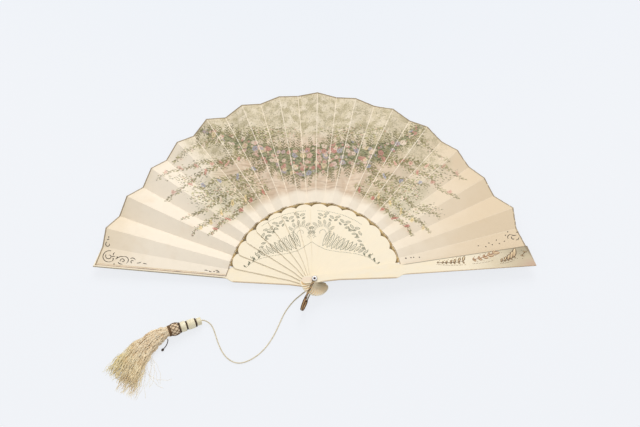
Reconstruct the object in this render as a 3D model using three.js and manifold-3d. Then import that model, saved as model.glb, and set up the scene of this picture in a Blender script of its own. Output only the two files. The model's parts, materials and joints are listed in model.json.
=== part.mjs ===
// A folding fan, opened out and lying on a table: two guards and fourteen inner sticks on one rivet,
// a pleated leaf of flat panels, a bail on the rivet, and a cord with a beaded tassel.
// Lengths are in millimetres and +Z is up. Sticks count from the back guard, 0, to the front guard, 15.

import * as THREE from 'three';
import { mergeVertices } from 'three/addons/utils/BufferGeometryUtils.js';
import Module from 'manifold-3d';

const wasm = await Module();
wasm.setup();

// Spread of the sticks round the rivet, in degrees seen from above
const INNER_STICKS = 14;
const OPENING_DEG = 165.6;
const BACK_GUARD_AZIMUTH = 172.8;
const SPREAD_BIAS = 0.048;
const PANEL_ANGLE_DEG = 5.8;
const LEAF_END_INSET_DEG = 0.45;

// Inner sticks: a blade with a rounded end and a thin rib that carries the leaf
const BLADE_THICKNESS = 1.0;
const BLADE_GAP = 0.2;
const HEAD_LENGTH = 18;
const HEAD_WIDTH = 9;
const WAIST_RADIUS = 30;
const GORGE_RADIUS = 105;
const SCALLOP_HALF_WIDTH = 11;
const SCALLOP_LENGTH = 8;
const RIB_WIDTH = 1.6;
const RIB_THICKNESS = 0.35;
const RIB_REACH = 252;
const RIB_ROOT_OVERLAP = 6;

// Guards: thicker outer sticks with a shoulder where the leaf begins
const GUARD_THICKNESS = 1.8;
const GUARD_HEAD_LENGTH = 15.5;
const GUARD_GORGE_WIDTH = 20;
const GUARD_GORGE_END = 98;
const GUARD_NECK_RADIUS = 110;
const GUARD_NECK_WIDTH = 13;
const GUARD_TIP_WIDTH = 27;
const GUARD_LENGTH = 272;
const GUARD_TIP_SLANT = 6;

// Leaf
const LEAF_INNER_RADIUS = 107;
const LEAF_CREST_RADIUS = 262;
const LEAF_VALLEY_RADIUS = 260;
const LEAF_THICKNESS = 0.12;
const LEAF_CLEARANCE = 0.06;
const CREASE_GAP = 0.2;
const FOLDED_VALLEY_RISE = 0.15;
const FOLDED_CREST_RISE = 0.42;

// Rivet
const PIN_RADIUS = 1.0;
const PIN_CLEARANCE = 0.2;
const PIN_HEAD_RADIUS = 1.4;
const PIN_HEAD_HEIGHT = 0.5;
const WASHER_RADIUS = 3.35;
const WASHER_THICKNESS = 0.8;
const WASHER_BEVEL = 0.25;
const RIVET_GAP = 0.1;

// Bail: a strip bent round the whole stack, with an eye at each end
const BAIL_AZIMUTH = 247;
const BAIL_THICKNESS = 1.0;
const BAIL_WIDTH = 2.2;
const BAIL_EYE_RADIUS = 3.1;
const BAIL_REACH = 39.5;
const BAIL_SWING_BACK_DEG = 15;
const BAIL_SWING_OUT_DEG = 95;

// Cord and tassel. Points are from the rivet's foot, on the table
const CORD_DIAMETER = 1.6;
const CORD_SIDES = 8;
const CORD_STEPS = 60;
const CORD_POINTS = [
  [-3.1, -2], [-8.2, -5.8], [-13.2, -9.6], [-18.6, -14.2], [-24, -19.2], [-29.4, -25.6], [-34.4, -33],
  [-38, -40], [-41.4, -48], [-44.8, -56], [-48.6, -64], [-53, -71.6], [-58, -78.6], [-63.4, -84.6],
  [-69.4, -89.6], [-75.6, -93.6], [-82, -96.4], [-88.6, -97.8], [-95.2, -96.8], [-101.2, -93.6],
  [-106.2, -89], [-110.4, -83], [-113.8, -76.2], [-116.6, -69], [-119, -62], [-121.4, -55.6],
  [-124.8, -50.2], [-129.4, -46.9],
];
const TASSEL_START = [-136.1, -46.4];
const TASSEL_START_HEIGHT = 5.3;
const TASSEL_AZIMUTH = 200.4;
const TASSEL_PITCH_DEG = 4.6;
const TABLE_CLEARANCE = 0.06;
const CORD_SEAT_GAP = 0.3;
const TASSEL_GAP = 0.15;
const BEAD_BEVEL_SHARE = 0.3;
const TOP_BEAD = { length: 6.2, radius: 4.7 };
const MIDDLE_BEAD = { length: 9.4, radius: 6 };
const LOWER_BEAD = { length: 7, radius: 6.4 };
const BEAD_BAND = { length: 1.5, radius: 5.5 };
const NET_LENGTH = 9.6;
const NET_RADIUS = 7.6;
const NET_RING_LENGTH = 2;
const NET_RING_RADIUS = 6.7;
const NET_BAND_LENGTH = 3.2;
const NET_BAND_RADIUS = 6.9;
const SKIRT_SIDES = 20;
// Sections of the skirt below its root: middles, half widths, half heights, and azimuths faced
const SKIRT_MIDDLES = [
  [-183.5, -64.6], [-192.5, -70.6], [-202.5, -79.6], [-211.5, -90.2], [-219.5, -102], [-225.5, -112.5],
  [-229.5, -120],
];
const SKIRT_HALF_WIDTHS = [9.2, 11.8, 14.6, 18, 22, 25.5, 27];
const SKIRT_HALF_HEIGHTS = [7.2, 6.4, 5.2, 4.2, 3.2, 2.3, 1.5];
const SKIRT_FACINGS_DEG = [206, 216, 224, 231, 236, 239, 241];
const DROP_RADIUS = 0.7;
const DROP_KNOB_RADIUS = 1.8;
const DROP_KNOB_LENGTH = 4;
const DROP_SIDES = 10;
const DROP_POINTS = [
  [-175, -70.2, 8], [-174.8, -71.8, 6.9], [-175.7, -74.4, 4.7], [-177.5, -77.5, 2.7], [-180, -80.4, 1.9],
];

// Facets
const ARC_STEPS = 12;
const ROUND_SIDES = 32;
const BAIL_SIDES = 10;
const BAIL_STEPS = 40;

// Colours, roughness and metalness
const BONE = { color: 0xf0e4c8, roughness: 0.45, metalness: 0 };
const PAPER = { color: 0xeeddc8, roughness: 0.85, metalness: 0 };
const PEARL = { color: 0xf4f2ee, roughness: 0.25, metalness: 0 };
const BRONZE = { color: 0x6a5238, roughness: 0.45, metalness: 0.8 };
const DARK_METAL = { color: 0x5a4a40, roughness: 0.5, metalness: 0.7 };
const CREAM_CORD = { color: 0xded2b4, roughness: 0.9, metalness: 0 };
const BEAD_BONE = { color: 0xeee0ba, roughness: 0.5, metalness: 0 };
const DARK_BAND = { color: 0x4a3424, roughness: 0.8, metalness: 0 };
const NETTING = { color: 0xc9a987, roughness: 0.9, metalness: 0 };
const THREADS = { color: 0xd9bd95, roughness: 0.95, metalness: 0 };

const UP = new THREE.Vector3(0, 0, 1);
const LAST = INNER_STICKS + 1;
const OPENING = THREE.MathUtils.degToRad(OPENING_DEG);
const HALF_PANEL = THREE.MathUtils.degToRad(PANEL_ANGLE_DEG) / 2;
const STICK_PITCH = BLADE_THICKNESS + BLADE_GAP;

const fan = new THREE.Group();
const table = new THREE.Group();
const object = new THREE.Group();
object.add(fan, table);
const hinges = [];

function twoDigits(k) {
  return String(k).padStart(2, '0');
}

function addMesh(parent, name, geometry, look) {
  const mesh = new THREE.Mesh(geometry, new THREE.MeshStandardMaterial(look));
  mesh.name = name;
  parent.add(mesh);
  return mesh;
}

function toSolid(geometry) {
  const bare = geometry.clone();
  bare.deleteAttribute('normal');
  bare.deleteAttribute('uv');
  const merged = mergeVertices(bare, 1e-5);
  const mesh = new wasm.Mesh({
    numProp: 3,
    vertProperties: merged.attributes.position.array,
    triVerts: new Uint32Array(merged.index.array),
  });
  return new wasm.Manifold(mesh);
}

function toGeometry(solid) {
  const mesh = solid.getMesh();
  const geometry = new THREE.BufferGeometry();
  geometry.setAttribute('position', new THREE.BufferAttribute(new Float32Array(mesh.vertProperties), 3));
  geometry.setIndex(new THREE.BufferAttribute(new Uint32Array(mesh.triVerts), 1));
  geometry.computeVertexNormals();
  return geometry;
}

function joined(...geometries) {
  return toGeometry(geometries.map(toSolid).reduce((whole, next) => whole.add(next)));
}

function plate(shape, thickness) {
  return new THREE.ExtrudeGeometry(shape, { depth: thickness, bevelEnabled: false, curveSegments: ARC_STEPS });
}

// Turned solids have their axis along +Z; profile points are [radius, height]
function turned(profile, sides = ROUND_SIDES) {
  return new THREE.LatheGeometry(profile.map(([r, z]) => new THREE.Vector2(r, z)), sides)
    .rotateX(Math.PI / 2);
}

function pinHole() {
  return new THREE.Path().absarc(0, 0, PIN_RADIUS + PIN_CLEARANCE, 0, 2 * Math.PI, true);
}

// Azimuth of a stick's middle line, in radians
function azimuth(k) {
  const share = k / LAST;
  const swept = OPENING * (share + SPREAD_BIAS * share * (share - 1));
  return THREE.MathUtils.degToRad(BACK_GUARD_AZIMUTH) - swept;
}

function stickBottom(k) {
  return k === 0 ? 0 : GUARD_THICKNESS + BLADE_GAP + (k - 1) * STICK_PITCH;
}

// How far a stick's panel leans, so that two panels span one step of the spread
function panelTilt(k) {
  if (k === 0 || k === LAST) return 0;
  const step = (azimuth(k - 1) - azimuth(k + 1)) / 2;
  return Math.acos(Math.min(1, step / (4 * HALF_PANEL)));
}

const STEEPEST_TILT = Math.max(...Array.from({ length: LAST }, (_, k) => panelTilt(k)));
const PANEL_RISE = RIB_THICKNESS + (RIB_WIDTH / 2) * Math.tan(STEEPEST_TILT)
  + LEAF_THICKNESS / 2 + LEAF_CLEARANCE;

// The point on the rivet's axis that a stick's panel aims at
function panelApex(k) {
  const glued = LEAF_CLEARANCE + LEAF_THICKNESS / 2;
  if (k === 0) return new THREE.Vector3(0, 0, GUARD_THICKNESS + glued);
  if (k === LAST) return new THREE.Vector3(0, 0, stickBottom(LAST) - glued);
  return new THREE.Vector3(0, 0, stickBottom(k) + PANEL_RISE);
}

// A direction from the rivet: along the stick, then clockwise across it, then up
function fromStick(k, along, across, up) {
  const a = azimuth(k);
  return new THREE.Vector3(
    along * Math.cos(a) + across * Math.sin(a),
    along * Math.sin(a) - across * Math.cos(a),
    up,
  );
}

// Side -1 is the panel's raised crest, and +1 its low valley
function creaseDirection(k, side) {
  const isLeafEnd = (k === 0 && side < 0) || (k === LAST && side > 0);
  const half = HALF_PANEL - (isLeafEnd ? THREE.MathUtils.degToRad(LEAF_END_INSET_DEG) : 0);
  const tilt = panelTilt(k);
  const across = side * Math.sin(half);
  return fromStick(k, Math.cos(half), across * Math.cos(tilt), -across * Math.sin(tilt));
}

function creasePoint(k, side, radius) {
  return panelApex(k).addScaledVector(creaseDirection(k, side), radius);
}

function outerRadius(side) {
  return side < 0 ? LEAF_CREST_RADIUS : LEAF_VALLEY_RADIUS;
}

// A thin sheet between two creases, each given as [stick, side]
function sheet(left, right) {
  const corners = [];
  for (const far of [false, true]) {
    const ends = [left, right].map(([k, side]) =>
      creasePoint(k, side, far ? outerRadius(side) : LEAF_INNER_RADIUS));
    const inward = ends[1].clone().sub(ends[0]).setLength(CREASE_GAP / 2);
    corners.push(ends[0].clone().add(inward), ends[1].clone().sub(inward));
  }
  const [innerLeft, innerRight, outerLeft, outerRight] = corners;
  const normal = innerRight.clone().sub(outerLeft).cross(outerRight.clone().sub(innerLeft));
  normal.setLength(LEAF_THICKNESS / 2);
  if (normal.z < 0) normal.negate();
  const ring = [innerLeft, innerRight, outerRight, outerLeft];
  const points = [...ring.map((p) => p.clone().sub(normal)), ...ring.map((p) => p.clone().add(normal))];
  const geometry = new THREE.BufferGeometry().setFromPoints(points);
  const walls = [0, 1, 2, 3].flatMap((i) => {
    const next = (i + 1) % 4;
    return [i, next, i + 4, next, next + 4, i + 4];
  });
  geometry.setIndex([0, 2, 1, 0, 3, 2, 4, 5, 6, 4, 6, 7, ...walls]);
  geometry.computeVertexNormals();
  return geometry;
}

// Head, waist and sides that a stick and a guard share, up to the wide end at its radius
function startOutline(headLength, wideRadius, halfWide) {
  const shape = new THREE.Shape();
  const half = HEAD_WIDTH / 2;
  shape.moveTo(wideRadius, halfWide);
  shape.lineTo(WAIST_RADIUS, half);
  shape.lineTo(half - headLength, half);
  shape.absarc(half - headLength, 0, half, Math.PI / 2, (3 * Math.PI) / 2, false);
  shape.lineTo(WAIST_RADIUS, -half);
  shape.lineTo(wideRadius, -halfWide);
  return shape;
}

function stickGeometry() {
  const lobe = GORGE_RADIUS - SCALLOP_LENGTH;
  const outline = startOutline(HEAD_LENGTH, lobe, SCALLOP_HALF_WIDTH);
  outline.absellipse(lobe, 0, SCALLOP_LENGTH, SCALLOP_HALF_WIDTH, -Math.PI / 2, Math.PI / 2, false);
  outline.holes.push(pinHole());
  const root = GORGE_RADIUS - RIB_ROOT_OVERLAP;
  const rib = new THREE.Shape();
  rib.moveTo(root, -RIB_WIDTH / 2);
  rib.absarc(RIB_REACH - RIB_WIDTH / 2, 0, RIB_WIDTH / 2, -Math.PI / 2, Math.PI / 2, false);
  rib.lineTo(root, RIB_WIDTH / 2);
  return joined(plate(outline, BLADE_THICKNESS), plate(rib, RIB_THICKNESS));
}

// leafSide is +1 where the leaf lies counter-clockwise of the guard, and -1 where clockwise
function guardGeometry(leafSide) {
  const half = GUARD_GORGE_WIDTH / 2;
  const neck = GUARD_NECK_WIDTH / 2;
  const tip = GUARD_TIP_WIDTH / 2;
  const bend = (GUARD_NECK_RADIUS - GUARD_GORGE_END) / 2;
  const shape = startOutline(GUARD_HEAD_LENGTH, GUARD_GORGE_END, half);
  shape.bezierCurveTo(GUARD_GORGE_END + bend, -half, GUARD_NECK_RADIUS - bend, -neck, GUARD_NECK_RADIUS, -neck);
  shape.lineTo(GUARD_LENGTH - (leafSide < 0 ? GUARD_TIP_SLANT : 0), -tip);
  shape.lineTo(GUARD_LENGTH - (leafSide > 0 ? GUARD_TIP_SLANT : 0), tip);
  shape.lineTo(GUARD_NECK_RADIUS, neck);
  shape.bezierCurveTo(GUARD_NECK_RADIUS - bend, neck, GUARD_GORGE_END + bend, half, GUARD_GORGE_END, half);
  shape.holes.push(pinHole());
  return plate(shape, GUARD_THICKNESS);
}

function placeOnRivet(mesh, k) {
  mesh.position.z = stickBottom(k);
  mesh.rotation.z = azimuth(k);
}

function addGuards() {
  placeOnRivet(addMesh(fan, 'back_guard', guardGeometry(-1), BONE), 0);
  placeOnRivet(addMesh(fan, 'front_guard', guardGeometry(1), BONE), LAST);
  hinges.push({
    name: 'fan_fold', parent: 'root', child: 'front_guard_arm', point: new THREE.Vector3(), axis: UP.clone(),
    range: [0, OPENING_DEG],
  });
}

function addSticks() {
  const geometry = stickGeometry();
  for (let k = 1; k < LAST; k += 1) {
    placeOnRivet(addMesh(fan, `stick_${twoDigits(k)}`, geometry, BONE), k);
    hinges.push({
      name: `stick_${twoDigits(k)}_turn`, parent: 'root', child: `stick_${twoDigits(k)}_arm`,
      point: new THREE.Vector3(), axis: UP.clone(), ratio: (azimuth(0) - azimuth(k)) / OPENING,
    });
  }
}

// Right-handed frame with its first axis along v and its plane holding m
function frameOf(v, m) {
  const normal = v.clone().cross(m).normalize();
  return new THREE.Matrix4().makeBasis(v, normal.clone().cross(v), normal);
}

// The turn that lays the free panel above a stick's own panel when the fan is shut
function flapTurn(k) {
  const reach = LEAF_CREST_RADIUS;
  const openCrest = creasePoint(k + 1, -1, reach).sub(panelApex(k)).normalize();
  const across = Math.sin(HALF_PANEL);
  const shutValley = fromStick(k, Math.cos(HALF_PANEL), across, FOLDED_VALLEY_RISE / reach).normalize();
  const shutCrest = fromStick(k, Math.cos(HALF_PANEL), -across, FOLDED_CREST_RISE / reach).normalize();
  const open = frameOf(creaseDirection(k, 1), openCrest);
  const shut = frameOf(shutValley, shutCrest);
  const turn = new THREE.Quaternion().setFromRotationMatrix(shut.multiply(open.transpose()));
  const facing = Math.sign(turn.w) || 1;
  const angle = 2 * Math.acos(Math.min(1, Math.abs(turn.w)));
  const axis = new THREE.Vector3(turn.x, turn.y, turn.z).multiplyScalar(facing).normalize();
  return { axis, angle };
}

// Panels a lie on the sticks; panels b join each stick's valley to the next stick's crest
function addLeaf() {
  for (let k = 0; k <= LAST; k += 1) {
    addMesh(fan, `leaf_panel_a${twoDigits(k)}`, sheet([k, -1], [k, 1]), PAPER);
  }
  for (let k = 0; k < LAST; k += 1) {
    addMesh(fan, `leaf_panel_b${twoDigits(k)}`, sheet([k, 1], [k + 1, -1]), PAPER);
    const { axis, angle } = flapTurn(k);
    hinges.push({
      name: `pleat_${twoDigits(k)}_fold`, parent: k === 0 ? 'root' : `stick_${twoDigits(k)}_arm`,
      child: `pleat_${twoDigits(k)}_flap`, point: panelApex(k), axis, ratio: angle / OPENING,
    });
  }
}

// Heights of what the rivet holds below and above the sticks
const STACK_TOP = stickBottom(LAST) + GUARD_THICKNESS;
const LOWER_EYE = -RIVET_GAP - BAIL_THICKNESS;
const LOWER_WASHER = LOWER_EYE - RIVET_GAP - WASHER_THICKNESS;
const PIN_BOTTOM = LOWER_WASHER - RIVET_GAP - PIN_HEAD_HEIGHT;
const UPPER_EYE = STACK_TOP + RIVET_GAP;
const UPPER_WASHER = UPPER_EYE + BAIL_THICKNESS + RIVET_GAP;
const PIN_TOP = UPPER_WASHER + WASHER_THICKNESS + RIVET_GAP + PIN_HEAD_HEIGHT;

function washerGeometry() {
  const inner = PIN_RADIUS + PIN_CLEARANCE;
  return turned([
    [inner, 0], [WASHER_RADIUS - WASHER_BEVEL, 0], [WASHER_RADIUS, WASHER_BEVEL],
    [WASHER_RADIUS, WASHER_THICKNESS - WASHER_BEVEL], [WASHER_RADIUS - WASHER_BEVEL, WASHER_THICKNESS],
    [inner, WASHER_THICKNESS], [inner, 0],
  ]);
}

function addRivet() {
  addMesh(fan, 'rivet_pin', turned([
    [0, PIN_BOTTOM], [PIN_HEAD_RADIUS, PIN_BOTTOM], [PIN_HEAD_RADIUS, PIN_BOTTOM + PIN_HEAD_HEIGHT],
    [PIN_RADIUS, PIN_BOTTOM + PIN_HEAD_HEIGHT], [PIN_RADIUS, PIN_TOP - PIN_HEAD_HEIGHT],
    [PIN_HEAD_RADIUS, PIN_TOP - PIN_HEAD_HEIGHT], [PIN_HEAD_RADIUS, PIN_TOP - PIN_HEAD_HEIGHT / 2],
    [PIN_RADIUS, PIN_TOP], [0, PIN_TOP],
  ]), DARK_METAL);
  addMesh(fan, 'rivet_washer_back', washerGeometry(), PEARL).position.z = LOWER_WASHER;
  addMesh(fan, 'rivet_washer_front', washerGeometry(), PEARL).position.z = UPPER_WASHER;
}

function sectionShape(halfThick, halfWide, sides) {
  const shape = new THREE.Shape();
  shape.absellipse(0, 0, halfThick, halfWide, 0, 2 * Math.PI, false);
  return new THREE.Shape(shape.getPoints(sides).slice(0, sides));
}

function tube(curve, section, steps) {
  return new THREE.ExtrudeGeometry(section, { steps, bevelEnabled: false, extrudePath: curve });
}

// The bail lies along +X here, and is turned to its azimuth as it is placed
function addBail() {
  const low = LOWER_EYE + BAIL_THICKNESS / 2;
  const high = UPPER_EYE + BAIL_THICKNESS / 2;
  const bend = (high - low) / 2;
  const bendCentre = BAIL_REACH - BAIL_THICKNESS / 2 - bend;
  const start = BAIL_EYE_RADIUS - (BAIL_EYE_RADIUS - PIN_RADIUS - PIN_CLEARANCE) / 2;
  const route = new THREE.CurvePath();
  route.add(new THREE.LineCurve3(new THREE.Vector3(start, 0, high), new THREE.Vector3(bendCentre, 0, high)));
  const arc = Array.from({ length: 2 * ARC_STEPS + 1 }, (_, i) => {
    const turn = Math.PI / 2 - (Math.PI * i) / (2 * ARC_STEPS);
    return new THREE.Vector3(bendCentre + bend * Math.cos(turn), 0, low + bend + bend * Math.sin(turn));
  });
  route.add(new THREE.CatmullRomCurve3(arc));
  route.add(new THREE.LineCurve3(new THREE.Vector3(bendCentre, 0, low), new THREE.Vector3(start, 0, low)));
  const strip = tube(route, sectionShape(BAIL_THICKNESS / 2, BAIL_WIDTH / 2, BAIL_SIDES), BAIL_STEPS);
  const ring = new THREE.Shape().absarc(0, 0, BAIL_EYE_RADIUS, 0, 2 * Math.PI, false);
  ring.holes.push(pinHole());
  const lowerEye = plate(ring, BAIL_THICKNESS).translate(0, 0, LOWER_EYE);
  const upperEye = plate(ring, BAIL_THICKNESS).translate(0, 0, UPPER_EYE);
  addMesh(fan, 'bail', joined(strip, lowerEye, upperEye), BRONZE)
    .rotation.z = THREE.MathUtils.degToRad(BAIL_AZIMUTH);
  hinges.push({
    name: 'bail_swing', parent: 'root', child: 'bail_loop', point: new THREE.Vector3(), axis: UP.clone(),
    range: [-BAIL_SWING_BACK_DEG, BAIL_SWING_OUT_DEG],
  });
}

// The fan rests on the rivet's foot and on the tips of its two middle valleys
function layOnTable() {
  const foot = new THREE.Vector3(0, 0, PIN_BOTTOM);
  const middle = Math.floor(LAST / 2);
  const left = creasePoint(middle, 1, LEAF_VALLEY_RADIUS).sub(foot);
  const right = creasePoint(middle + 1, 1, LEAF_VALLEY_RADIUS).sub(foot);
  const normal = right.cross(left).normalize();
  fan.quaternion.setFromUnitVectors(normal, UP);
  fan.updateMatrixWorld(true);
  const box = new THREE.Box3().setFromObject(fan, true);
  const centre = box.getCenter(new THREE.Vector3());
  fan.position.set(-centre.x, -centre.y, -box.min.z);
  fan.updateMatrixWorld(true);
  const footInPlace = foot.applyMatrix4(fan.matrixWorld);
  table.position.set(footInPlace.x, footInPlace.y, 0);
}

function addCord() {
  const height = CORD_DIAMETER / 2 + TABLE_CLEARANCE;
  const [x, y] = TASSEL_START;
  const azimuth = THREE.MathUtils.degToRad(TASSEL_AZIMUTH);
  const end = TASSEL_START_HEIGHT;
  const points = CORD_POINTS.map(([px, py], i) => {
    const climb = Math.max(0, i - CORD_POINTS.length + 4) / 4;
    return new THREE.Vector3(px, py, height + climb * climb * (end - height));
  });
  const seat = CORD_SEAT_GAP + CORD_DIAMETER;
  for (const back of [seat, CORD_SEAT_GAP]) {
    points.push(new THREE.Vector3(x - back * Math.cos(azimuth), y - back * Math.sin(azimuth), end));
  }
  const section = sectionShape(CORD_DIAMETER / 2, CORD_DIAMETER / 2, CORD_SIDES);
  addMesh(table, 'cord', tube(new THREE.CatmullRomCurve3(points), section, CORD_STEPS), CREAM_CORD);
}

function beadGeometry({ length, radius }) {
  const bevel = BEAD_BEVEL_SHARE * Math.min(length / 2, radius);
  const neck = radius - bevel;
  return turned([
    [0, 0], [neck, 0], [radius - bevel / 3, bevel / 3], [radius, bevel], [radius, length - bevel],
    [radius - bevel / 3, length - bevel / 3], [neck, length], [0, length],
  ]);
}

function nettedHeadGeometry() {
  const netStart = NET_RING_LENGTH;
  const netEnd = netStart + NET_LENGTH;
  const end = netEnd + NET_BAND_LENGTH;
  const swell = NET_RADIUS - NET_RING_RADIUS;
  const bulge = Array.from({ length: 7 }, (_, i) => {
    const share = (i + 0.5) / 7;
    return [NET_RING_RADIUS - 0.4 * swell + 1.4 * swell * Math.sin(Math.PI * share), netStart + share * NET_LENGTH];
  });
  return turned([
    [0, 0], [NET_RING_RADIUS, 0], [NET_RING_RADIUS, netStart], ...bulge,
    [NET_BAND_RADIUS, netEnd], [NET_BAND_RADIUS, end], [0, end],
  ]);
}

// Beads, bands and the netted head follow each other along one axis, which rises a little
function addTasselHead() {
  const head = new THREE.Group();
  const [x, y] = TASSEL_START;
  head.position.set(x, y, TASSEL_START_HEIGHT);
  const lean = THREE.MathUtils.degToRad(TASSEL_PITCH_DEG);
  const azimuth = THREE.MathUtils.degToRad(TASSEL_AZIMUTH);
  const axis = new THREE.Vector3(
    Math.cos(azimuth) * Math.cos(lean), Math.sin(azimuth) * Math.cos(lean), Math.sin(lean),
  );
  head.quaternion.setFromUnitVectors(UP, axis);
  table.add(head);
  let along = 0;
  const thread = (name, geometry, length, look) => {
    addMesh(head, name, geometry, look).position.z = along;
    along += length + TASSEL_GAP;
  };
  thread('tassel_bead_top', beadGeometry(TOP_BEAD), TOP_BEAD.length, BEAD_BONE);
  thread('tassel_band_upper', beadGeometry(BEAD_BAND), BEAD_BAND.length, DARK_BAND);
  thread('tassel_bead_middle', beadGeometry(MIDDLE_BEAD), MIDDLE_BEAD.length, BEAD_BONE);
  thread('tassel_band_lower', beadGeometry(BEAD_BAND), BEAD_BAND.length, DARK_BAND);
  thread('tassel_bead_lower', beadGeometry(LOWER_BEAD), LOWER_BEAD.length, BEAD_BONE);
  thread('tassel_netted_head', nettedHeadGeometry(), NET_RING_LENGTH + NET_LENGTH + NET_BAND_LENGTH, NETTING);
  return { axis, root: head.position.clone().addScaledVector(axis, along) };
}

// A closed skin over rings of points, given from the root to the end
function loft(rings) {
  const sides = rings[0].length;
  const points = rings.flat();
  const faces = [];
  for (let i = 0; i + 1 < rings.length; i += 1) {
    for (let j = 0; j < sides; j += 1) {
      const a = i * sides + j;
      const b = i * sides + ((j + 1) % sides);
      faces.push(a, b, a + sides, b, b + sides, a + sides);
    }
  }
  const last = (rings.length - 1) * sides;
  for (let j = 1; j + 1 < sides; j += 1) {
    faces.push(0, j + 1, j);
    faces.push(last, last + j, last + j + 1);
  }
  const geometry = new THREE.BufferGeometry().setFromPoints(points);
  geometry.setIndex(faces);
  geometry.computeVertexNormals();
  return geometry;
}

function ovalRing(centre, side, rise) {
  return Array.from({ length: SKIRT_SIDES }, (_, j) => {
    const turn = (2 * Math.PI * j) / SKIRT_SIDES;
    return centre.clone().addScaledVector(side, Math.cos(turn)).addScaledVector(rise, Math.sin(turn));
  });
}

function sideways(azimuthDeg, length) {
  const facing = THREE.MathUtils.degToRad(azimuthDeg);
  return new THREE.Vector3(-length * Math.sin(facing), length * Math.cos(facing), 0);
}

// The skirt's root meets the netted head, and its threads spread out from there over the table
function addSkirt({ axis, root }) {
  const rootSide = sideways(TASSEL_AZIMUTH, NET_BAND_RADIUS);
  const rings = [ovalRing(root, rootSide, axis.clone().cross(rootSide))];
  SKIRT_MIDDLES.forEach(([x, y], i) => {
    const high = SKIRT_HALF_HEIGHTS[i];
    const centre = new THREE.Vector3(x, y, TABLE_CLEARANCE + high);
    const across = sideways(SKIRT_FACINGS_DEG[i], SKIRT_HALF_WIDTHS[i]);
    rings.push(ovalRing(centre, across, UP.clone().multiplyScalar(high)));
  });
  addMesh(table, 'tassel_skirt', loft(rings), THREADS);
}

function addDropString() {
  const points = DROP_POINTS.map((point) => new THREE.Vector3(...point));
  const string = tube(new THREE.CatmullRomCurve3(points), sectionShape(DROP_RADIUS, DROP_RADIUS, CORD_SIDES), 8);
  const end = points[points.length - 1];
  const away = end.clone().sub(points[points.length - 2]).setZ(0).normalize();
  const knob = turned([
    [0, 0], [DROP_KNOB_RADIUS * 0.7, 0], [DROP_KNOB_RADIUS, DROP_KNOB_LENGTH / 4],
    [DROP_KNOB_RADIUS, (3 * DROP_KNOB_LENGTH) / 4], [DROP_KNOB_RADIUS * 0.7, DROP_KNOB_LENGTH],
    [0, DROP_KNOB_LENGTH],
  ], DROP_SIDES);
  knob.applyQuaternion(new THREE.Quaternion().setFromUnitVectors(UP, away));
  knob.translate(end.x - away.x, end.y - away.y, end.z);
  addMesh(table, 'tassel_drop_string', joined(string, knob), DARK_BAND);
}

// Hinges are kept with the model in the object's own frame, in millimetres and degrees
function hingeFacts() {
  const spin = new THREE.Quaternion();
  fan.getWorldQuaternion(spin);
  return hinges.map((hinge) => ({
    ...hinge,
    point: hinge.point.clone().applyMatrix4(fan.matrixWorld).toArray(),
    axis: hinge.axis.clone().applyQuaternion(spin).toArray(),
  }));
}

addGuards();
addSticks();
addLeaf();
addRivet();
addBail();
layOnTable();
addCord();
addSkirt(addTasselHead());
addDropString();
object.updateMatrixWorld(true);
object.userData.hinges = hingeFacts();

export default object;
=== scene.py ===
"""Looks of a pleated folding fan with a beaded tassel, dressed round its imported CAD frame."""

import json
import math
import random

import bpy
from mathutils import Matrix, Vector
from mathutils.bvhtree import BVHTree

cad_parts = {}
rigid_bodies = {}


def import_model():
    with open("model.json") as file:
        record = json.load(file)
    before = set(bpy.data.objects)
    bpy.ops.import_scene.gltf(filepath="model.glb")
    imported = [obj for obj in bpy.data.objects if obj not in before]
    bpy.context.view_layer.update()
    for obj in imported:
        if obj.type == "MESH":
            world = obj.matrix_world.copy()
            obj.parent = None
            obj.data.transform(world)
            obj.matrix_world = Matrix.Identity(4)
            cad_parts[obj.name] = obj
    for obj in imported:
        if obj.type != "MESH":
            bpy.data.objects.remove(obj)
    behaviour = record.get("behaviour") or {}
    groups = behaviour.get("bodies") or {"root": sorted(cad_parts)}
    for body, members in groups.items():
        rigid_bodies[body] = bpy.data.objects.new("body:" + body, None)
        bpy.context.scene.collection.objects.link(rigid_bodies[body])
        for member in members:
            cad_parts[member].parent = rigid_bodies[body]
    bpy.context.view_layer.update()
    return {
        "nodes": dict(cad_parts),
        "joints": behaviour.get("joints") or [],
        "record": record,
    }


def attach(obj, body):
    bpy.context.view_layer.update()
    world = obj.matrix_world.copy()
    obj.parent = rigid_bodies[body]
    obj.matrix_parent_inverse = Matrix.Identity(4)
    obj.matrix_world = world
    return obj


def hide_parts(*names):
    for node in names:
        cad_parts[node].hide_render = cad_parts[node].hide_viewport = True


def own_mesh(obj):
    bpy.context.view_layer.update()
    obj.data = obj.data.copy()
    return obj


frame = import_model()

bl_info = {
    "name": "Folding fan",
    "version": (1, 0, 0),
    "blender": (4, 5, 0),
    "location": "View3D > Sidebar > Fan",
    "description": "Builds an opened folding fan with a painted leaf, pricked blades and a beaded tassel",
    "category": "Object",
}

UP = Vector((0, 0, 1))
MM = 0.001

# The fan's own frame: its origin on the rivet's axis, and its z along that axis
JOINTS = {joint["name"]: joint for joint in frame["joints"]}
FOLD = JOINTS["fan_fold"]
FAN_AXIS = Vector(FOLD["axis"]).normalized()
FAN = Matrix.Translation(FOLD["pos_m"]) @ UP.rotation_difference(FAN_AXIS).to_matrix().to_4x4()
FAN_BACK = FAN.inverted()
STICKS = 14
LAST = STICKS + 1
BACK_AZIMUTH = math.radians(172.8)
SPREAD = math.radians(FOLD["range_deg"][1])
TURN_SHARE = {c["joint"]: c["ratio"] for c in frame["record"]["behaviour"]["couplings"]}
SHARES = [0.0] + [TURN_SHARE[f"stick_{k:02d}_turn"] for k in range(1, LAST)] + [1.0]
AZIMUTHS = [BACK_AZIMUTH - SPREAD * share for share in SHARES]

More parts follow.
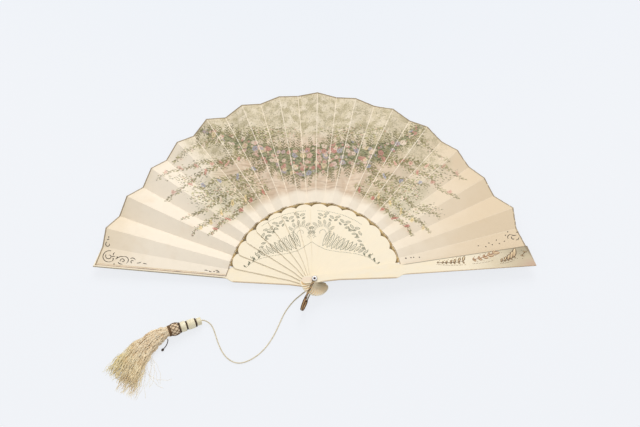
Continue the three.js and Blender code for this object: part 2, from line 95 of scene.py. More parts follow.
# The rivet's foot on the table, from which the cord and tassel are placed
FOOT = Vector(FOLD["pos_m"]) - FAN_AXIS * (FOLD["pos_m"][2] / FAN_AXIS.z)

# The cord's way over the table, in millimetres from the rivet's foot, and its middle's height there
CORD_ROUTE = (
    (-3.1, -2), (-8.2, -5.8), (-13.2, -9.6), (-18.6, -14.2), (-24, -19.2), (-29.4, -25.6), (-34.4, -33),
    (-38, -40), (-41.4, -48), (-44.8, -56), (-48.6, -64), (-53, -71.6), (-58, -78.6), (-63.4, -84.6),
    (-69.4, -89.6), (-75.6, -93.6), (-82, -96.4), (-88.6, -97.8), (-95.2, -96.8), (-101.2, -93.6),
    (-106.2, -89), (-110.4, -83), (-113.8, -76.2), (-116.6, -69), (-119, -62), (-121.4, -55.6),
    (-124.8, -50.2), (-129.4, -46.9),
)
CORD_REST = 0.86
CORD_CLIMB_POINTS = 4
CORD_STEP = 0.0005

# Where the tassel's first bead begins, in millimetres from the rivet's foot, and which way it points
TASSEL_START = Vector((-136.1, -46.4, 5.3))
TASSEL_AZIMUTH = math.radians(200.4)
TASSEL_PITCH = math.radians(4.6)

# Lay of the threads below their root: middle, half width, half height, and azimuth faced, in
# millimetres from the rivet's foot and degrees
THREAD_LAY = (
    ((-183.5, -64.6), 9.2, 7.2, 206), ((-192.5, -70.6), 11.8, 6.4, 216), ((-202.5, -79.6), 14.6, 5.2, 224),
    ((-211.5, -90.2), 18, 4.2, 231), ((-219.5, -102), 22, 3.2, 236), ((-225.5, -112.5), 25.5, 2.3, 239),
    ((-229.5, -120), 27, 1.5, 241),
)
DROP_ROUTE = (
    (-175, -70.2, 8), (-174.8, -71.8, 6.9), (-175.7, -74.4, 4.7), (-177.5, -77.5, 2.7), (-180, -80.4, 1.9),
)
DROP_STEP = 0.0004

# Outline of the sticks and guards that their bone follows, in millimetres along and across
HEAD_HALF_WIDTH = 4.5
HEAD_END = -13.5
WAIST = 30
GORGE_FLARE = 0.0809
NECK = 110
NECK_HALF_WIDTH = 6.5
TIP_FLARE = 0.0441

# Lengths that one unit of the UV maps covers, and where the fan's axis lies in the maps of the sticks
STICK_MAP = 0.3
STICK_MAP_ORIGIN = Vector((0.1, 0.5))
LEAF_MAP = 0.6

# Depth of the leaf in millimetres, and the angle that one fold of it spans
LEAF_DEPTH = 154
FOLD_ANGLE = 0.101

CAMERA_PLACE = Vector((0.006918, -0.566568, 1.296292))
CAMERA_AIM = Vector((0.006918, -0.017287, 0.0012))
CAMERA_ANGLE = math.radians(32)


def tint(red, green, blue):
    """Scene-linear colour of a paint given by its display values from 0 to 255."""
    parts = (red / 255, green / 255, blue / 255)
    return tuple(c / 12.92 if c < 0.0405 else ((c + 0.055) / 1.055) ** 2.4 for c in parts)


def size(name, description, metres, top=0.01):
    """A length that the user may change."""
    return bpy.props.FloatProperty(
        name=name, description=description, default=metres, min=0, max=top, precision=5, unit="LENGTH"
    )


def colour(name, description, *display):
    """A colour that the user may change."""
    return bpy.props.FloatVectorProperty(
        name=name, description=description, default=tint(*display), min=0, max=1, subtype="COLOR"
    )


class FanSizes(bpy.types.PropertyGroup):
    blade_edge: size("Blade edge", "Rounding along the edges of blades and guards", 0.00016)
    leaf_thickness: size("Leaf thickness", "Thickness of the doubled paper of the leaf", 0.00012)
    leaf_bow: size("Leaf bow", "How far each fold of the leaf bows up in its middle", 0.00007)
    prick_length: size("Prick length", "Length of one pricked dash on the blades", 0.00125)
    prick_width: size("Prick width", "Width of one pricked dash on the blades", 0.0008)
    prick_height: size("Prick height", "How far a pricked dash stands above its blade", 0.00006)
    relief: size("Carving relief", "How far the carved leaves stand above the front guard", 0.0003)
    scroll_line: size("Scroll line", "Half width of the painted scrolls at the leaf's corners", 0.00052)
    cord_diameter: size("Cord diameter", "Outside diameter of the cord", 0.0016)
    cord_twist: size("Cord twist", "Length of cord in which its strands turn once", 0.0052)
    wire: size("Bail wire", "Radius of the wires of the bail", 0.00045)
    net_strand: size("Net strand", "Radius of the strands of the net on the tassel's head", 0.00028)
    yarn: size("Yarn", "Radius of one yarn of the tassel", 0.00052)
    hair: size("Hair", "Radius of one loose hair of the tassel", 0.00014)
    yarns: bpy.props.IntProperty(
        name="Yarns", description="Number of yarns in the tassel", default=230, min=50, max=300
    )
    hairs: bpy.props.IntProperty(
        name="Hairs", description="Number of fine hairs round the yarns", default=130, min=0, max=600
    )
    strays: bpy.props.IntProperty(
        name="Stray hairs", description="Number of long hairs loose on the table", default=9, min=0, max=30
    )
    locks: bpy.props.IntProperty(
        name="Locks", description="Number of wavy locks that the yarns gather in", default=40, min=4, max=80
    )
    seed: bpy.props.IntProperty(name="Seed", description="Start of every random draw", default=11, min=0)


class FanColours(bpy.types.PropertyGroup):
    bone: colour("Bone", "Polished bone of blades and guards", 247, 233, 206)
    bone_shade: colour("Bone shade", "Bone in its grain and along its edges", 226, 208, 172)
    prick: colour("Pricked work", "Darkened pricks on the blades", 114, 116, 94)
    carving: colour("Carved lines", "Brown rubbed into the carving on the front guard", 116, 84, 52)
    paper: colour("Paper", "Bare painted side of the leaf", 245, 232, 212)
    paper_back: colour("Paper back", "Back of the leaf", 232, 220, 200)
    haze: colour("Painted haze", "Grey-green wash along the top of the leaf", 208, 194, 160)
    ground: colour("Painted ground", "Rosy beige wash in the middle of the leaf", 212, 186, 158)
    foliage: colour("Painted foliage", "Dark leaves of the garland and sprays", 106, 100, 64)
    foliage_light: colour("Painted light foliage", "Light leaves of the garland and sprays", 166, 156, 106)
    gilt: colour("Gilt trim", "Worn gold line along the leaf's edges", 120, 98, 58)
    scroll: colour("Scrolls", "Dark gold of the painted scrolls", 74, 58, 38)
    pearl: colour("Pearl", "Washers on the rivet", 246, 244, 242)
    rivet: colour("Rivet", "Dark metal of the pin", 86, 66, 58)
    bail: colour("Bail", "Antique brown metal of the bail", 104, 90, 62)
    bail_warm: colour("Bail binding", "Warmer brown metal of the fork and its bindings", 104, 68, 38)
    ribbon: colour("Ribbon", "Tan strip inside the bail's fork", 214, 180, 132)
    cord: colour("Cord", "Cream cord", 232, 220, 192)
    bead: colour("Beads", "Cream beads of the tassel", 244, 234, 204)
    dark_thread: colour("Dark thread", "Bands and drop string", 88, 66, 48)
    net: colour("Net", "Dark gold net over the tassel's head", 122, 90, 54)
    net_ground: colour("Head", "Rosy tan head under the net", 244, 222, 190)
    threads: colour("Threads", "Tan threads of the tassel", 248, 230, 198)
    thread_tips: colour("Thread tips", "Yellower tips of the threads", 230, 216, 158)
    floor: colour("Floor", "Pale floor", 238, 242, 247)


# Shader maths


class Wire:
    """A value that flows between nodes, on which sums are written as Python."""

    def __init__(self, finish, socket):
        self.finish = finish
        self.socket = socket

    def __add__(self, other):
        return self.finish.maths("ADD", self, other)

    def __sub__(self, other):
        return self.finish.maths("SUBTRACT", self, other)

    def __rsub__(self, other):
        return self.finish.maths("SUBTRACT", other, self)

    def __mul__(self, other):
        return self.finish.maths("MULTIPLY", self, other)

    def __truediv__(self, other):
        return self.finish.maths("DIVIDE", self, other)

    def __rtruediv__(self, other):
        return self.finish.maths("DIVIDE", other, self)

    def __pow__(self, other):
        return self.finish.maths("POWER", self, other)

    def __abs__(self):
        return self.finish.maths("ABSOLUTE", self)

    __radd__ = __add__
    __rmul__ = __mul__


class Finish:
    """The node tree of one material."""

    def __init__(self, name):
        self.material = bpy.data.materials.new(name)
        self.material.use_nodes = True
        self.nodes = self.material.node_tree.nodes
        self.links = self.material.node_tree.links
        self.nodes.clear()

    def node(self, kind, settings=None, values=None):
        """One node: its settings are set first, and then the values or links of its sockets."""
        made = self.nodes.new(kind)
        for key, value in (settings or {}).items():
            if key == "stops":
                self.set_stops(made.color_ramp, value)
            else:
                setattr(made, key, value)
        for key, value in (values or {}).items():
            if isinstance(value, Wire):
                self.links.new(value.socket, made.inputs[key])
            else:
                made.inputs[key].default_value = value
        return made

    @staticmethod
    def set_stops(ramp, stops):
        """Gives a colour ramp its places and tones."""
        while len(ramp.elements) < len(stops):
            ramp.elements.new(1)
        for element, (place, tone) in zip(ramp.elements, stops):
            element.position = place
            element.color = (*tone, 1)

    def out(self, made, key=0):
        """The value that leaves a node at one of its sockets."""
        return Wire(self, made.outputs[key])

    def maths(self, operation, *terms, clamp=False):
        """One sum of a Math node."""
        settings = {"operation": operation, "use_clamp": clamp}
        return self.out(self.node("ShaderNodeMath", settings, dict(enumerate(terms))))

    def within(self, value):
        """The value held between 0 and 1."""
        return self.maths("ADD", value, 0, clamp=True)

    def rise(self, value, start, end):
        """0 at start and 1 at end, with a smooth step between."""
        settings = {"interpolation_type": "SMOOTHSTEP"}
        return self.out(self.node("ShaderNodeMapRange", settings, {0: value, 1: start, 2: end}))

    def mix(self, share, first, second):
        """The first colour with a share of the second laid over it."""
        settings = {"data_type": "RGBA", "blend_type": "MIX"}
        tones = [t if isinstance(t, Wire) else (*t, 1) for t in (first, second)]
        return self.out(self.node("ShaderNodeMix", settings, {0: share, 6: tones[0], 7: tones[1]}), 2)

    def ramp(self, value, *stops):
        """The colour that stands at a value between stops of place and tone."""
        return self.out(self.node("ShaderNodeValToRGB", {"stops": stops}, {0: value}))

    def vector(self, x, y, z=0.0):
        """A vector from its three parts."""
        return self.out(self.node("ShaderNodeCombineXYZ", None, {0: x, 1: y, 2: z}))

    def parts(self, vector):
        """The three parts of a vector."""
        made = self.node("ShaderNodeSeparateXYZ", None, {0: vector})
        return [self.out(made, i) for i in range(3)]

    def object_place(self):
        """The place on the piece, in metres of the shared frame."""
        return self.out(self.node("ShaderNodeTexCoord"), "Object")

    def uv(self, name):
        """The place in one of the piece's UV maps."""
        return self.out(self.node("ShaderNodeUVMap", {"uv_map": name}))

    def stretched(self, vector, scale, turn=(0, 0, 0), origin=(0, 0, 0)):
        """A vector scaled, turned and moved."""
        values = {"Vector": vector, "Scale": scale, "Rotation": turn, "Location": origin}
        return self.out(self.node("ShaderNodeMapping", None, values))

    def noise(self, vector, scale, detail=3.0, roughness=0.55):
        """Cloudy noise between 0 and 1."""
        values = {"Vector": vector, "Scale": scale, "Detail": detail, "Roughness": roughness}
        return self.out(self.node("ShaderNodeTexNoise", None, values), 0)

    def cells(self, vector, scale=1.0, randomness=1.0):
        """Distance to the nearest cell's middle, that cell's random value, and its middle."""
        values = {"Vector": vector, "Scale": scale, "Randomness": randomness}
        made = self.node("ShaderNodeTexVoronoi", {"voronoi_dimensions": "2D"}, values)
        chance = self.out(self.node("ShaderNodeSeparateColor", None, {0: self.out(made, "Color")}))
        return self.out(made, "Distance"), chance, self.out(made, "Position")

    def bump(self, height, distance, strength=1.0):
        """A normal that shows a height as relief."""
        values = {"Height": height, "Distance": distance, "Strength": strength}
        return self.out(self.node("ShaderNodeBump", None, values))

    def done(self, base, roughness, normal=None, **plain):
        """Links the surface and hands back the material."""
        values = {"Base Color": base if isinstance(base, Wire) else (*base, 1), "Roughness": roughness}
        if normal is not None:
            values["Normal"] = normal
        values.update(plain)
        surface = self.out(self.node("ShaderNodeBsdfPrincipled", None, values))
        self.node("ShaderNodeOutputMaterial", None, {"Surface": surface})
        return self.material


# Finishes


def bone_finish(name, c, warmth, head_shade_tone, outer=0, stain=None):
    """Polished bone: long grain, clouds, dark pores, painted shade and highlight on the heads, painted shade
    along the guards' edges, and a stain at a guard's tip.

    outer is 1 or -1 for a guard, by the side on which it lies outermost, and 0 for an inner stick.
    """
    f = Finish(name)
    along = f.uv("stick")
    grain = f.noise(f.stretched(along, (26, 900, 1)), 1, 4, 0.6)
    clouds = f.noise(f.stretched(along, (14, 30, 1)), 1, 3)
    pores = f.noise(f.stretched(along, (220, 4200, 1)), 1, 2)
    tone = f.mix(f.rise(grain, 0.42, 0.78) * 0.3, c.bone, c.bone_shade)
    tone = f.mix(f.rise(clouds, 0.4, 0.75) * 0.35, tone, warmth)
    tone = f.mix(f.rise(pores, 0.6, 0.72) * 0.16, tone, c.bone_shade)

    # Painted shade inside the head's rim and a painted highlight along its edge, so that the stacked heads
    # look ribbed
    u, v, _ = f.parts(f.uv("place"))
    span = STICK_MAP / MM
    reach = u * span - span * STICK_MAP_ORIGIN.x
    aside = v * span - span * STICK_MAP_ORIGIN.y
    core = f.maths("MAXIMUM", f.maths("MINIMUM", reach, 0), HEAD_END)
    rim = HEAD_HALF_WIDTH - ((reach - core) * (reach - core) + aside * aside) ** 0.5
    head_zone = f.rise(reach, -0.6, -2.4)
    tone = f.mix(head_zone * f.rise(rim, 0.8, 1.6) * 0.8, tone, head_shade_tone)
    tone = f.mix(head_zone * f.rise(rim, 0.6, 0.3) * 0.6, tone, tint(255, 246, 222))

    # Painted shade along a guard's outer side, from its waist to its shoulder
    if outer:
        half = HEAD_HALF_WIDTH + GORGE_FLARE * f.maths("MAXIMUM", reach - WAIST, 0)
        gorge = f.rise(reach, 4, 16) * f.rise(reach, 102, 97)
        tone = f.mix(gorge * f.rise(half - outer * aside, 1.5, 0.6) * 0.6, tone, tint(178, 142, 98))

    # Stained towards the tip, greener on one side and rosier on the other, with a dark end
    if stain is not None:
        worn = 34 * (clouds - 0.5)
        tone = f.mix(f.rise(reach + worn, 175, 262) * 0.72, tone, stain)
        tone = f.mix(f.rise(reach + worn, 222, 262) * f.rise(aside, -3, 9) * 0.55, tone, tint(146, 136, 110))
        tone = f.mix(f.rise(reach + worn, 240, 270) * f.rise(aside, 0, -11) * 0.6, tone, tint(202, 162, 142))
        tone = f.mix(f.rise(reach + 0.4 * aside, 266.6, 268.4) * 0.5, tone, tint(120, 92, 66))

    # Painted shade: a dark line and a tan one along the edges beyond the neck
    half = NECK_HALF_WIDTH + (reach - NECK) * TIP_FLARE
    beyond = f.rise(reach, NECK - 4, NECK + 4)
    tone = f.mix(beyond * f.rise(half - aside, 1.15, 0.7) * 0.75, tone, tint(126, 112, 88))
    tone = f.mix(beyond * f.rise(half + aside, 1.0, 0.5) * 0.5, tone, tint(186, 148, 102))
    roughness = 0.36 + 0.14 * grain
    return f.done(tone, roughness, f.bump(grain + 0.4 * pores, 0.00003, 0.5), **{"Coat Weight": 0.15})


class Painting:
    """Brushwork on the leaf, in millimetres of the fan's plane."""

    def __init__(self, finish, x, y):
        """The brush works in this finish, on a plane whose place is x and y."""
        self.f = finish
        self.x = x
        self.y = y

    def leaves(self, along, aside, step, long, wide, lean):
        """Leaves in turn on both sides of a stem, which runs along with the distance aside from it."""
        f = self.f
        half = f.maths("GREATER_THAN", aside, 0)
        t = (f.maths("FRACT", along / step + 0.5 * half) - 0.5) * step
        off = abs(aside) - long * 0.8
        cos, sin = math.cos(math.radians(lean)), math.sin(math.radians(lean))
        far = (t * cos + off * sin) / long
        near = (off * cos - t * sin) / wide
        return f.rise(far * far + near * near * (1.3 + 0.6 * far), 1.05, 0.7)

    def vine(self, a, b, c, step, long):
        """A stem on the arc through three points: its leaves, its line, its blossoms and their eyes."""
        f = self.f
        ax, ay, bx, by, cx, cy = *a, *b, *c
        d = 2 * (ax * (by - cy) + bx * (cy - ay) + cx * (ay - by))
        aa, bb, cc = ax * ax + ay * ay, bx * bx + by * by, cx * cx + cy * cy
        ox = (aa * (by - cy) + bb * (cy - ay) + cc * (ay - by)) / d
        oy = (aa * (cx - bx) + bb * (ax - cx) + cc * (bx - ax)) / d
        radius = math.hypot(ax - ox, ay - oy)
        middle = math.atan2(by - oy, bx - ox)
        start = math.remainder(math.atan2(ay - oy, ax - ox) - middle, math.tau)
        end = math.remainder(math.atan2(cy - oy, cx - ox) - middle, math.tau)
        way = 1 if end > start else -1
        length = abs(end - start) * radius
        cos, sin = math.cos(middle), math.sin(middle)
        dx, dy = self.x - ox, self.y - oy
        turn = f.maths("ARCTAN2", dy * cos - dx * sin, dx * cos + dy * sin)
        along = (turn - start) * (way * radius)
        aside = (dx * dx + dy * dy) ** 0.5 - radius + 1.6 * f.maths("SINE", along / 7)
        reach = f.rise(along, -1, 3) * f.rise(along, length, length - 5)
        taper = 1 - along / (1.6 * length)
        leaves = self.leaves(along, aside / taper, step, long, long * 0.42, 52) * reach
        line = f.rise(abs(aside), 0.5, 0.15) * reach
        bead = f.maths("FRACT", along / (step * 3.7)) * (step * 3.7) - step * 1.8
        across = aside - 3.4 * f.maths("SINE", along * 0.37)
        from_eye = (bead * bead + across * across) ** 0.5
        around = f.maths("ARCTAN2", across, bead)
        bloom = f.rise(from_eye + 0.5 * f.maths("COSINE", 5 * around), 2.9, 2.3) * reach
        near = f.within(1.1 - abs(aside) / (10 * taper)) * reach
        return leaves, line, bloom, f.rise(from_eye, 1.2, 0.5) * reach, near

    def twigs(self, along, out, step, shift, lean, length):
        """Short twigs that stand out from a border, one every step along it."""
        f = self.f
        cell = f.maths("FLOOR", along / step + shift)
        chance = f.out(f.node("ShaderNodeTexWhiteNoise", {"noise_dimensions": "1D"}, {"W": cell}))
        aside = (f.maths("FRACT", along / step + shift) - 0.5) * step
        aside = aside + (chance - 0.5 + lean) * out - 0.02 * out * out * (chance - 0.5)
        reach = f.rise(out, -2, 0) * f.rise(out - (chance - 0.5) * length, length, length - 4)
        leaves = self.leaves(out, aside, 3.6, 2.0, 0.85, 48)
        return f.maths("MAXIMUM", leaves, f.rise(abs(aside), 0.34, 0.1) * 0.8) * reach


def leaf_finish(c):
    """The painted side of the leaf: washes, a garland with twigs, vines, and gilt along its edges."""
    f = Finish("painted_leaf")
    u, v, _ = f.parts(f.uv("painting"))
    across, along, _ = f.parts(f.uv("panel"))
    x = (u - 0.5) * (LEAF_MAP / MM)
    y = v * (LEAF_MAP / MM)
    spot = f.vector(x, y)
    reach = (x * x + y * y) ** 0.5
    turn = f.maths("ARCTAN2", y, x) * math.degrees(1)
    drift = f.noise(spot, 0.03, 3) - 0.5
    fleck = f.noise(spot, 0.55, 4, 0.7)
    mottle = f.noise(spot, 0.12, 5, 0.6)
    from_middle = abs(turn - 89)
    inner_free = f.rise(reach + 12 * drift, 119, 130)

    # Paper, which is older and browner to the right and near the edges
    tone = f.mix(f.rise(mottle, 0.45, 0.8) * 0.35, c.paper, c.paper_back)
    tone = f.mix(f.rise(x + 60 * drift, 40, 230) * 0.7, tone, tint(220, 194, 156))
    tone = f.mix(f.rise(-1 * x + 60 * drift, 190, 280) * 0.55, tone, tint(222, 198, 160))
    stain = f.rise(f.noise(f.stretched(spot, (0.02, 0.02, 1)), 1, 3), 0.56, 0.72)
    tone = f.mix(stain * 0.3, tone, tint(226, 198, 160))

    # Washes: a grey-green haze above, and a rosy ground below
    painted = f.rise(from_middle + 26 * drift, 49, 34) * inner_free
    haze = painted * f.rise(reach + 50 * drift, 180, 212)
    ground = painted * f.rise(reach + 36 * drift, 216, 184)
    clumps = f.noise(spot, 0.085, 5, 0.62)
    tone = f.mix(haze * (0.4 + 0.45 * f.rise(mottle, 0.35, 0.65)), tone, c.haze)
    tone = f.mix(haze * f.rise(clumps + 0.4 * (fleck - 0.5), 0.44, 0.62) * 0.62, tone, tint(168, 156, 118))
    tone = f.mix(haze * f.rise(fleck, 0.55, 0.63) * 0.6, tone, tint(134, 114, 78))
    tone = f.mix(haze * f.rise(fleck, 0.42, 0.34) * 0.4, tone, tint(240, 226, 190))
    tone = f.mix(ground * (0.6 + 0.35 * f.rise(mottle, 0.35, 0.65)), tone, c.ground)
    streak = f.noise(f.stretched(spot, (0.03, 0.34, 1)), 1, 3)
    tone = f.mix(ground * f.rise(streak, 0.54, 0.66) * 0.4, tone, tint(160, 130, 98))
    tone = f.mix(ground * f.rise(streak, 0.44, 0.34) * 0.4, tone, tint(238, 214, 186))

    # The garland hangs across the middle, and thins towards its raised ends
    wide = abs(x + 4) + 10 * drift
    painting = Painting(f, wide, y + 8 * (f.noise(spot, 0.018, 2) - 0.5))
    curve = 167 + 0.0023 * x * x + 5 * f.maths("SINE", x / 19)
    off = y - curve + 10 * drift
    depth = f.within(1.16 - abs(x) / 150)
    full = depth * 23 + 10 * (fleck - 0.5) + 7 * (clumps - 0.5)
    garland = f.within((full - abs(off)) / 6) * f.rise(from_middle, 46, 38)
    body = f.within(garland * 1.2)
    tone = f.mix(body * (0.5 + 0.4 * mottle), tone, tint(138, 140, 104))
    tone = f.mix(body * f.rise(mottle, 0.42, 0.6) * 0.5, tone, c.foliage)

    for step, shift, lean, strength, green in (
        (9.5, 0.0, 0.25, 0.62, c.foliage_light), (7.3, 40.4, -0.3, 0.72, c.foliage),
        (12.1, 90.7, 0.1, 0.8, tint(124, 116, 78)),
    ):
        twigs = painting.twigs(x, abs(off) - depth * 19 + 3, step, shift, lean, 17)
        tone = f.mix(twigs * strength * f.rise(from_middle, 47, 42) * inner_free, tone, green)

    # Vines that trail away to both sides
    vines = (
        ((84, 178), (132, 152), (184, 108), 6.4, 3.3), ((70, 142), (112, 114), (164, 82), 5.8, 3.1),
        ((98, 164), (150, 160), (200, 138), 5.4, 2.7), ((56, 132), (92, 98), (130, 60), 5.2, 2.7),
        ((62, 158), (108, 140), (152, 128), 6.2, 3.4), ((76, 120), (118, 92), (150, 62), 4.8, 2.4),
        ((112, 196), (150, 186), (176, 160), 5.0, 2.4),
    )
    petal_tones = (
        tint(214, 140, 128), tint(244, 224, 196), tint(226, 170, 152), tint(196, 106, 96),
        tint(156, 162, 184), tint(240, 214, 150), tint(240, 220, 196),
    )
    fade = 1.0 - 0.45 * f.rise(wide, 110, 200)
    from_shade = ((wide - 104) * (wide - 104) / 1.9 + (y - 118) * (y - 118)) ** 0.5
    shade = f.rise(from_shade + 30 * drift, 46, 12)
    tone = f.mix(shade * inner_free * (0.25 + 0.3 * f.rise(clumps, 0.4, 0.6)), tone, tint(190, 184, 146))
    drawn = [painting.vine(a, b, e, step, long) for a, b, e, step, long in vines]
    near = drawn[0][4]
    for vine in drawn[1:]:
        near = f.maths("MAXIMUM", near, vine[4])

    # Loose bushes among the vines: their middles and half sizes
    for bx, by, rx, ry in (
        (-124, 118, 36, 15), (-86, 136, 22, 17), (-164, 140, 24, 9), (-60, 206, 40, 12), (112, 124, 30, 17),
        (152, 148, 26, 14), (138, 96, 20, 9), (52, 208, 44, 11),
    ):
        dx, dy = (x - bx) / rx, (y - by) / ry
        bush = f.within(1.3 - (dx * dx + dy * dy) ** 0.5 + 1.3 * (fleck - 0.5) + 1.5 * drift)
        near = f.maths("MAXIMUM", near, bush)

    # Small dabs over the bushes and along the vines, in coats that lean different ways
    for lean, scale, share, green in (
        (28, 1.25, 0.5, c.foliage_light), (-38, 1.05, 0.55, c.foliage), (74, 1.4, 0.42, tint(136, 126, 84)),
        (-8, 0.85, 0.4, tint(184, 176, 124)), (52, 1.9, 0.34, tint(96, 84, 56)),
        (14, 1.7, 0.2, tint(250, 238, 206)), (-60, 1.5, 0.14, tint(222, 160, 142)),
    ):
        stretched = f.stretched(spot, (0.2 * scale, 0.42 * scale, 1), (0, 0, math.radians(lean)))
        distance, chance, _ = f.cells(stretched)
        dab = f.rise(distance, 0.36, 0.26) * f.rise(near * share * fade - chance, 0.0, 0.06) * inner_free
        tone = f.mix(dab * 0.75, tone, green)
    for (leaves, line, bloom, eye, _), petals in zip(drawn, petal_tones):
        green = f.mix(f.rise(fleck, 0.35, 0.65), c.foliage, c.foliage_light)
        tone = f.mix(line * 0.6 * fade, tone, tint(140, 122, 84))
        tone = f.mix(leaves * 0.78 * fade, tone, green)
        tone = f.mix(
            bloom * 0.8 * fade, tone, f.mix(f.rise(fleck, 0.4, 0.7) * 0.4, petals, tint(252, 238, 214))
        )
        tone = f.mix(eye * 0.6 * fade, tone, tint(150, 96, 62))

    # Leaves of the garland, in coats that lean different ways
    for lean, scale, dark, green in (
        (35, 0.8, 0.85, c.foliage), (-42, 0.95, 0.8, c.foliage_light), (84, 0.75, 0.7, tint(116, 122, 88)),
        (10, 1.2, 0.8, tint(184, 182, 138)),
    ):
        stretched = f.stretched(spot, (0.17 * scale, 0.4 * scale, 1), (0, 0, math.radians(lean)))
        distance, chance, _ = f.cells(stretched)
        dab = f.rise(distance, 0.38, 0.3) * f.rise(garland * 0.85 - chance, 0.0, 0.08)
        tone = f.mix(dab * dark, tone, f.mix(f.rise(distance, 0.05, 0.32) * 0.45, green, tint(58, 62, 46)))

    # Blossoms with petals that curl round a darker eye
    for scale, shift, share in (
        (0.098, (40, 17, 0), 0.66), (0.135, (11, 63, 0), 0.5), (0.24, (77, 5, 0), 0.34),
    ):
        _, chance, middle = f.cells(f.stretched(spot, (1, 1, 1), (0, 0, 0), shift), scale, 0.85)
        mx, my, _ = f.parts(middle)
        dx = x + shift[0] - mx
        dy = y + shift[1] - my
        radius = (dx * dx + dy * dy) ** 0.5 * scale
        around = f.maths("ARCTAN2", dy, dx)
        petal = radius + 0.035 * f.maths("COSINE", 5 * around + 9 * chance)
        bloom = f.rise(petal, 0.4, 0.34) * f.rise(garland * share - chance, 0.0, 0.06)
        kind = f.maths("FRACT", chance * 7.31)
        petals = f.ramp(
            kind, (0.0, tint(216, 154, 138)), (0.2, tint(188, 112, 100)), (0.34, tint(246, 230, 204)),
            (0.55, tint(230, 182, 162)), (0.72, tint(152, 158, 176)), (0.86, tint(238, 214, 160)),
            (1.0, tint(236, 206, 190)),
        )
        curl = f.maths("SINE", 2.0 * around + 34 * radius)
        petals = f.mix(f.rise(curl, 0.0, 0.9) * 0.42, petals, tint(142, 84, 76))
        petals = f.mix(f.rise(curl, -0.3, -0.9) * 0.35, petals, tint(255, 244, 226))
        petals = f.mix(f.rise(radius, 0.12, 0.05) * 0.6, petals, tint(140, 84, 50))
        tone = f.mix(bloom * 0.78, tone, petals)

    # Light lines where the paint has rubbed off the creases
    to_crease = f.maths("MINIMUM", across, 1 - across) * reach * FOLD_ANGLE
    rubbed = f.rise(to_crease, 0.7, 0.25) * f.rise(f.noise(spot, 0.25, 2), 0.3, 0.45)
    tone = f.mix(rubbed * (0.25 + 0.6 * f.within(painted + body)), tone, tint(252, 238, 216))

    # Worn gilt along the outer edge, and a thin gold band with a line along the inner one
    worn = f.noise(spot, 0.3, 3, 0.6)
    outer = (1 - along) * LEAF_DEPTH
    inner = along * LEAF_DEPTH
    gilt = f.rise(outer + 1.2 * (worn - 0.5), 1.9, 1.2) * f.rise(worn - 0.12 * f.rise(x, 60, 160), 0.22, 0.36)
    lines = f.rise(abs(inner - 0.9), 0.45, 0.2) * f.rise(worn, 0.36, 0.5)
    band = f.rise(inner, 1.1, 0.8)
    tone = f.mix(band * 0.6, tone, f.mix(f.rise(worn, 0.4, 0.6), tint(232, 208, 160), tint(190, 158, 106)))
    old_gilt = f.mix(f.rise(worn, 0.4, 0.62), c.gilt, tint(104, 72, 48))
    tone = f.mix(f.maths("MAXIMUM", gilt, lines) * 0.92, tone, old_gilt)
    tone = f.mix(f.rise(outer + 4 * drift, 9, 1) * 0.2, tone, c.bone_shade)
    roughness = 0.84 - 0.3 * f.within(gilt + band) - 0.08 * body
    fibre = f.noise(spot, 2.6, 3, 0.65)
    return f.done(tone, roughness, f.bump(fibre + 0.5 * mottle + 0.6 * gilt, 0.00006, 0.6))


def paper_finish(name, plain, shade):
    """Bare paper with fibres, clouds and faint foxing."""
    f = Finish(name)
    spot = f.stretched(f.uv("painting"), (LEAF_MAP / MM, LEAF_MAP / MM, 1))
    clouds = f.noise(spot, 0.05, 4)
    fibre = f.noise(f.stretched(spot, (1, 3, 1)), 1.1, 3, 0.7)
    _, chance, _ = f.cells(spot, 0.12)
    fox = f.rise(f.noise(spot, 0.16, 2), 0.68, 0.74) * f.rise(chance, 0.7, 0.8)
    tone = f.mix(f.rise(clouds, 0.35, 0.75) * 0.5, plain, shade)
    tone = f.mix(f.rise(fibre, 0.58, 0.75) * 0.25, tone, shade)
    tone = f.mix(fox * 0.3, tone, tint(186, 150, 104))
    return f.done(tone, 0.84, f.bump(fibre, 0.00006, 0.6))


def paint_finish(name, tone, other, scale, roughness=0.5, metallic=0.0, depth=0.00004):
    """Thin paint, thread or metal that varies from place to place between two tones."""
    f = Finish(name)
    place = f.object_place()
    patches = f.noise(place, scale, 4, 0.6)
    grit = f.noise(place, scale * 9, 2)
    mixed = f.mix(f.rise(patches, 0.35, 0.68), tone, other)
    rough = f.within(roughness + 0.25 * (grit - 0.5))
    return f.done(mixed, rough, f.bump(grit, depth, 0.6), Metallic=metallic)


def notch_finish():
    """Old gilt: two thin gold lines next to the leaf, and darker in the notches between the blades as painted
    shade there.
    """
    f = Finish("notch_gilt")
    x, y, _ = f.parts(f.object_place())
    dx, dy = x - FAN.translation.x, y - FAN.translation.y
    reach = (dx * dx + dy * dy) ** 0.5 * 1000
    worn = f.noise(f.object_place(), 420, 3)
    # Dark brown inward of the gold: painted shade where it shows in the notches
    tone = f.mix(f.rise(worn, 0.35, 0.65), tint(140, 116, 68), tint(104, 84, 48))
    tone = f.mix(
        f.rise(reach, 104.7, 105.2), tone,
        f.mix(f.rise(worn, 0.4, 0.6), tint(212, 184, 126), tint(176, 142, 86)),
    )
    tone = f.mix(f.rise(abs(reach - 106.1), 0.35, 0.15) * 0.6, tone, tint(132, 102, 60))
    return f.done(tone, 0.6, f.bump(worn, 0.00004, 0.6), Metallic=0.1)


def pearl_finish(c):
    """Pearl with faint rings that turn from white to rosy grey."""
    f = Finish("pearl")
    place = f.object_place()
    cloud = f.noise(place, 520, 3)
    band = f.noise(f.stretched(place, (300, 300, 2400)), 1, 2)
    tone = f.mix(f.rise(cloud, 0.4, 0.7) * 0.4, c.pearl, tint(226, 220, 224))
    tone = f.mix(f.rise(band, 0.5, 0.7) * 0.2, tone, tint(236, 226, 212))
    return f.done(tone, 0.22, f.bump(cloud, 0.00002, 0.3), **{"Coat Weight": 0.5, "Coat Roughness": 0.1})


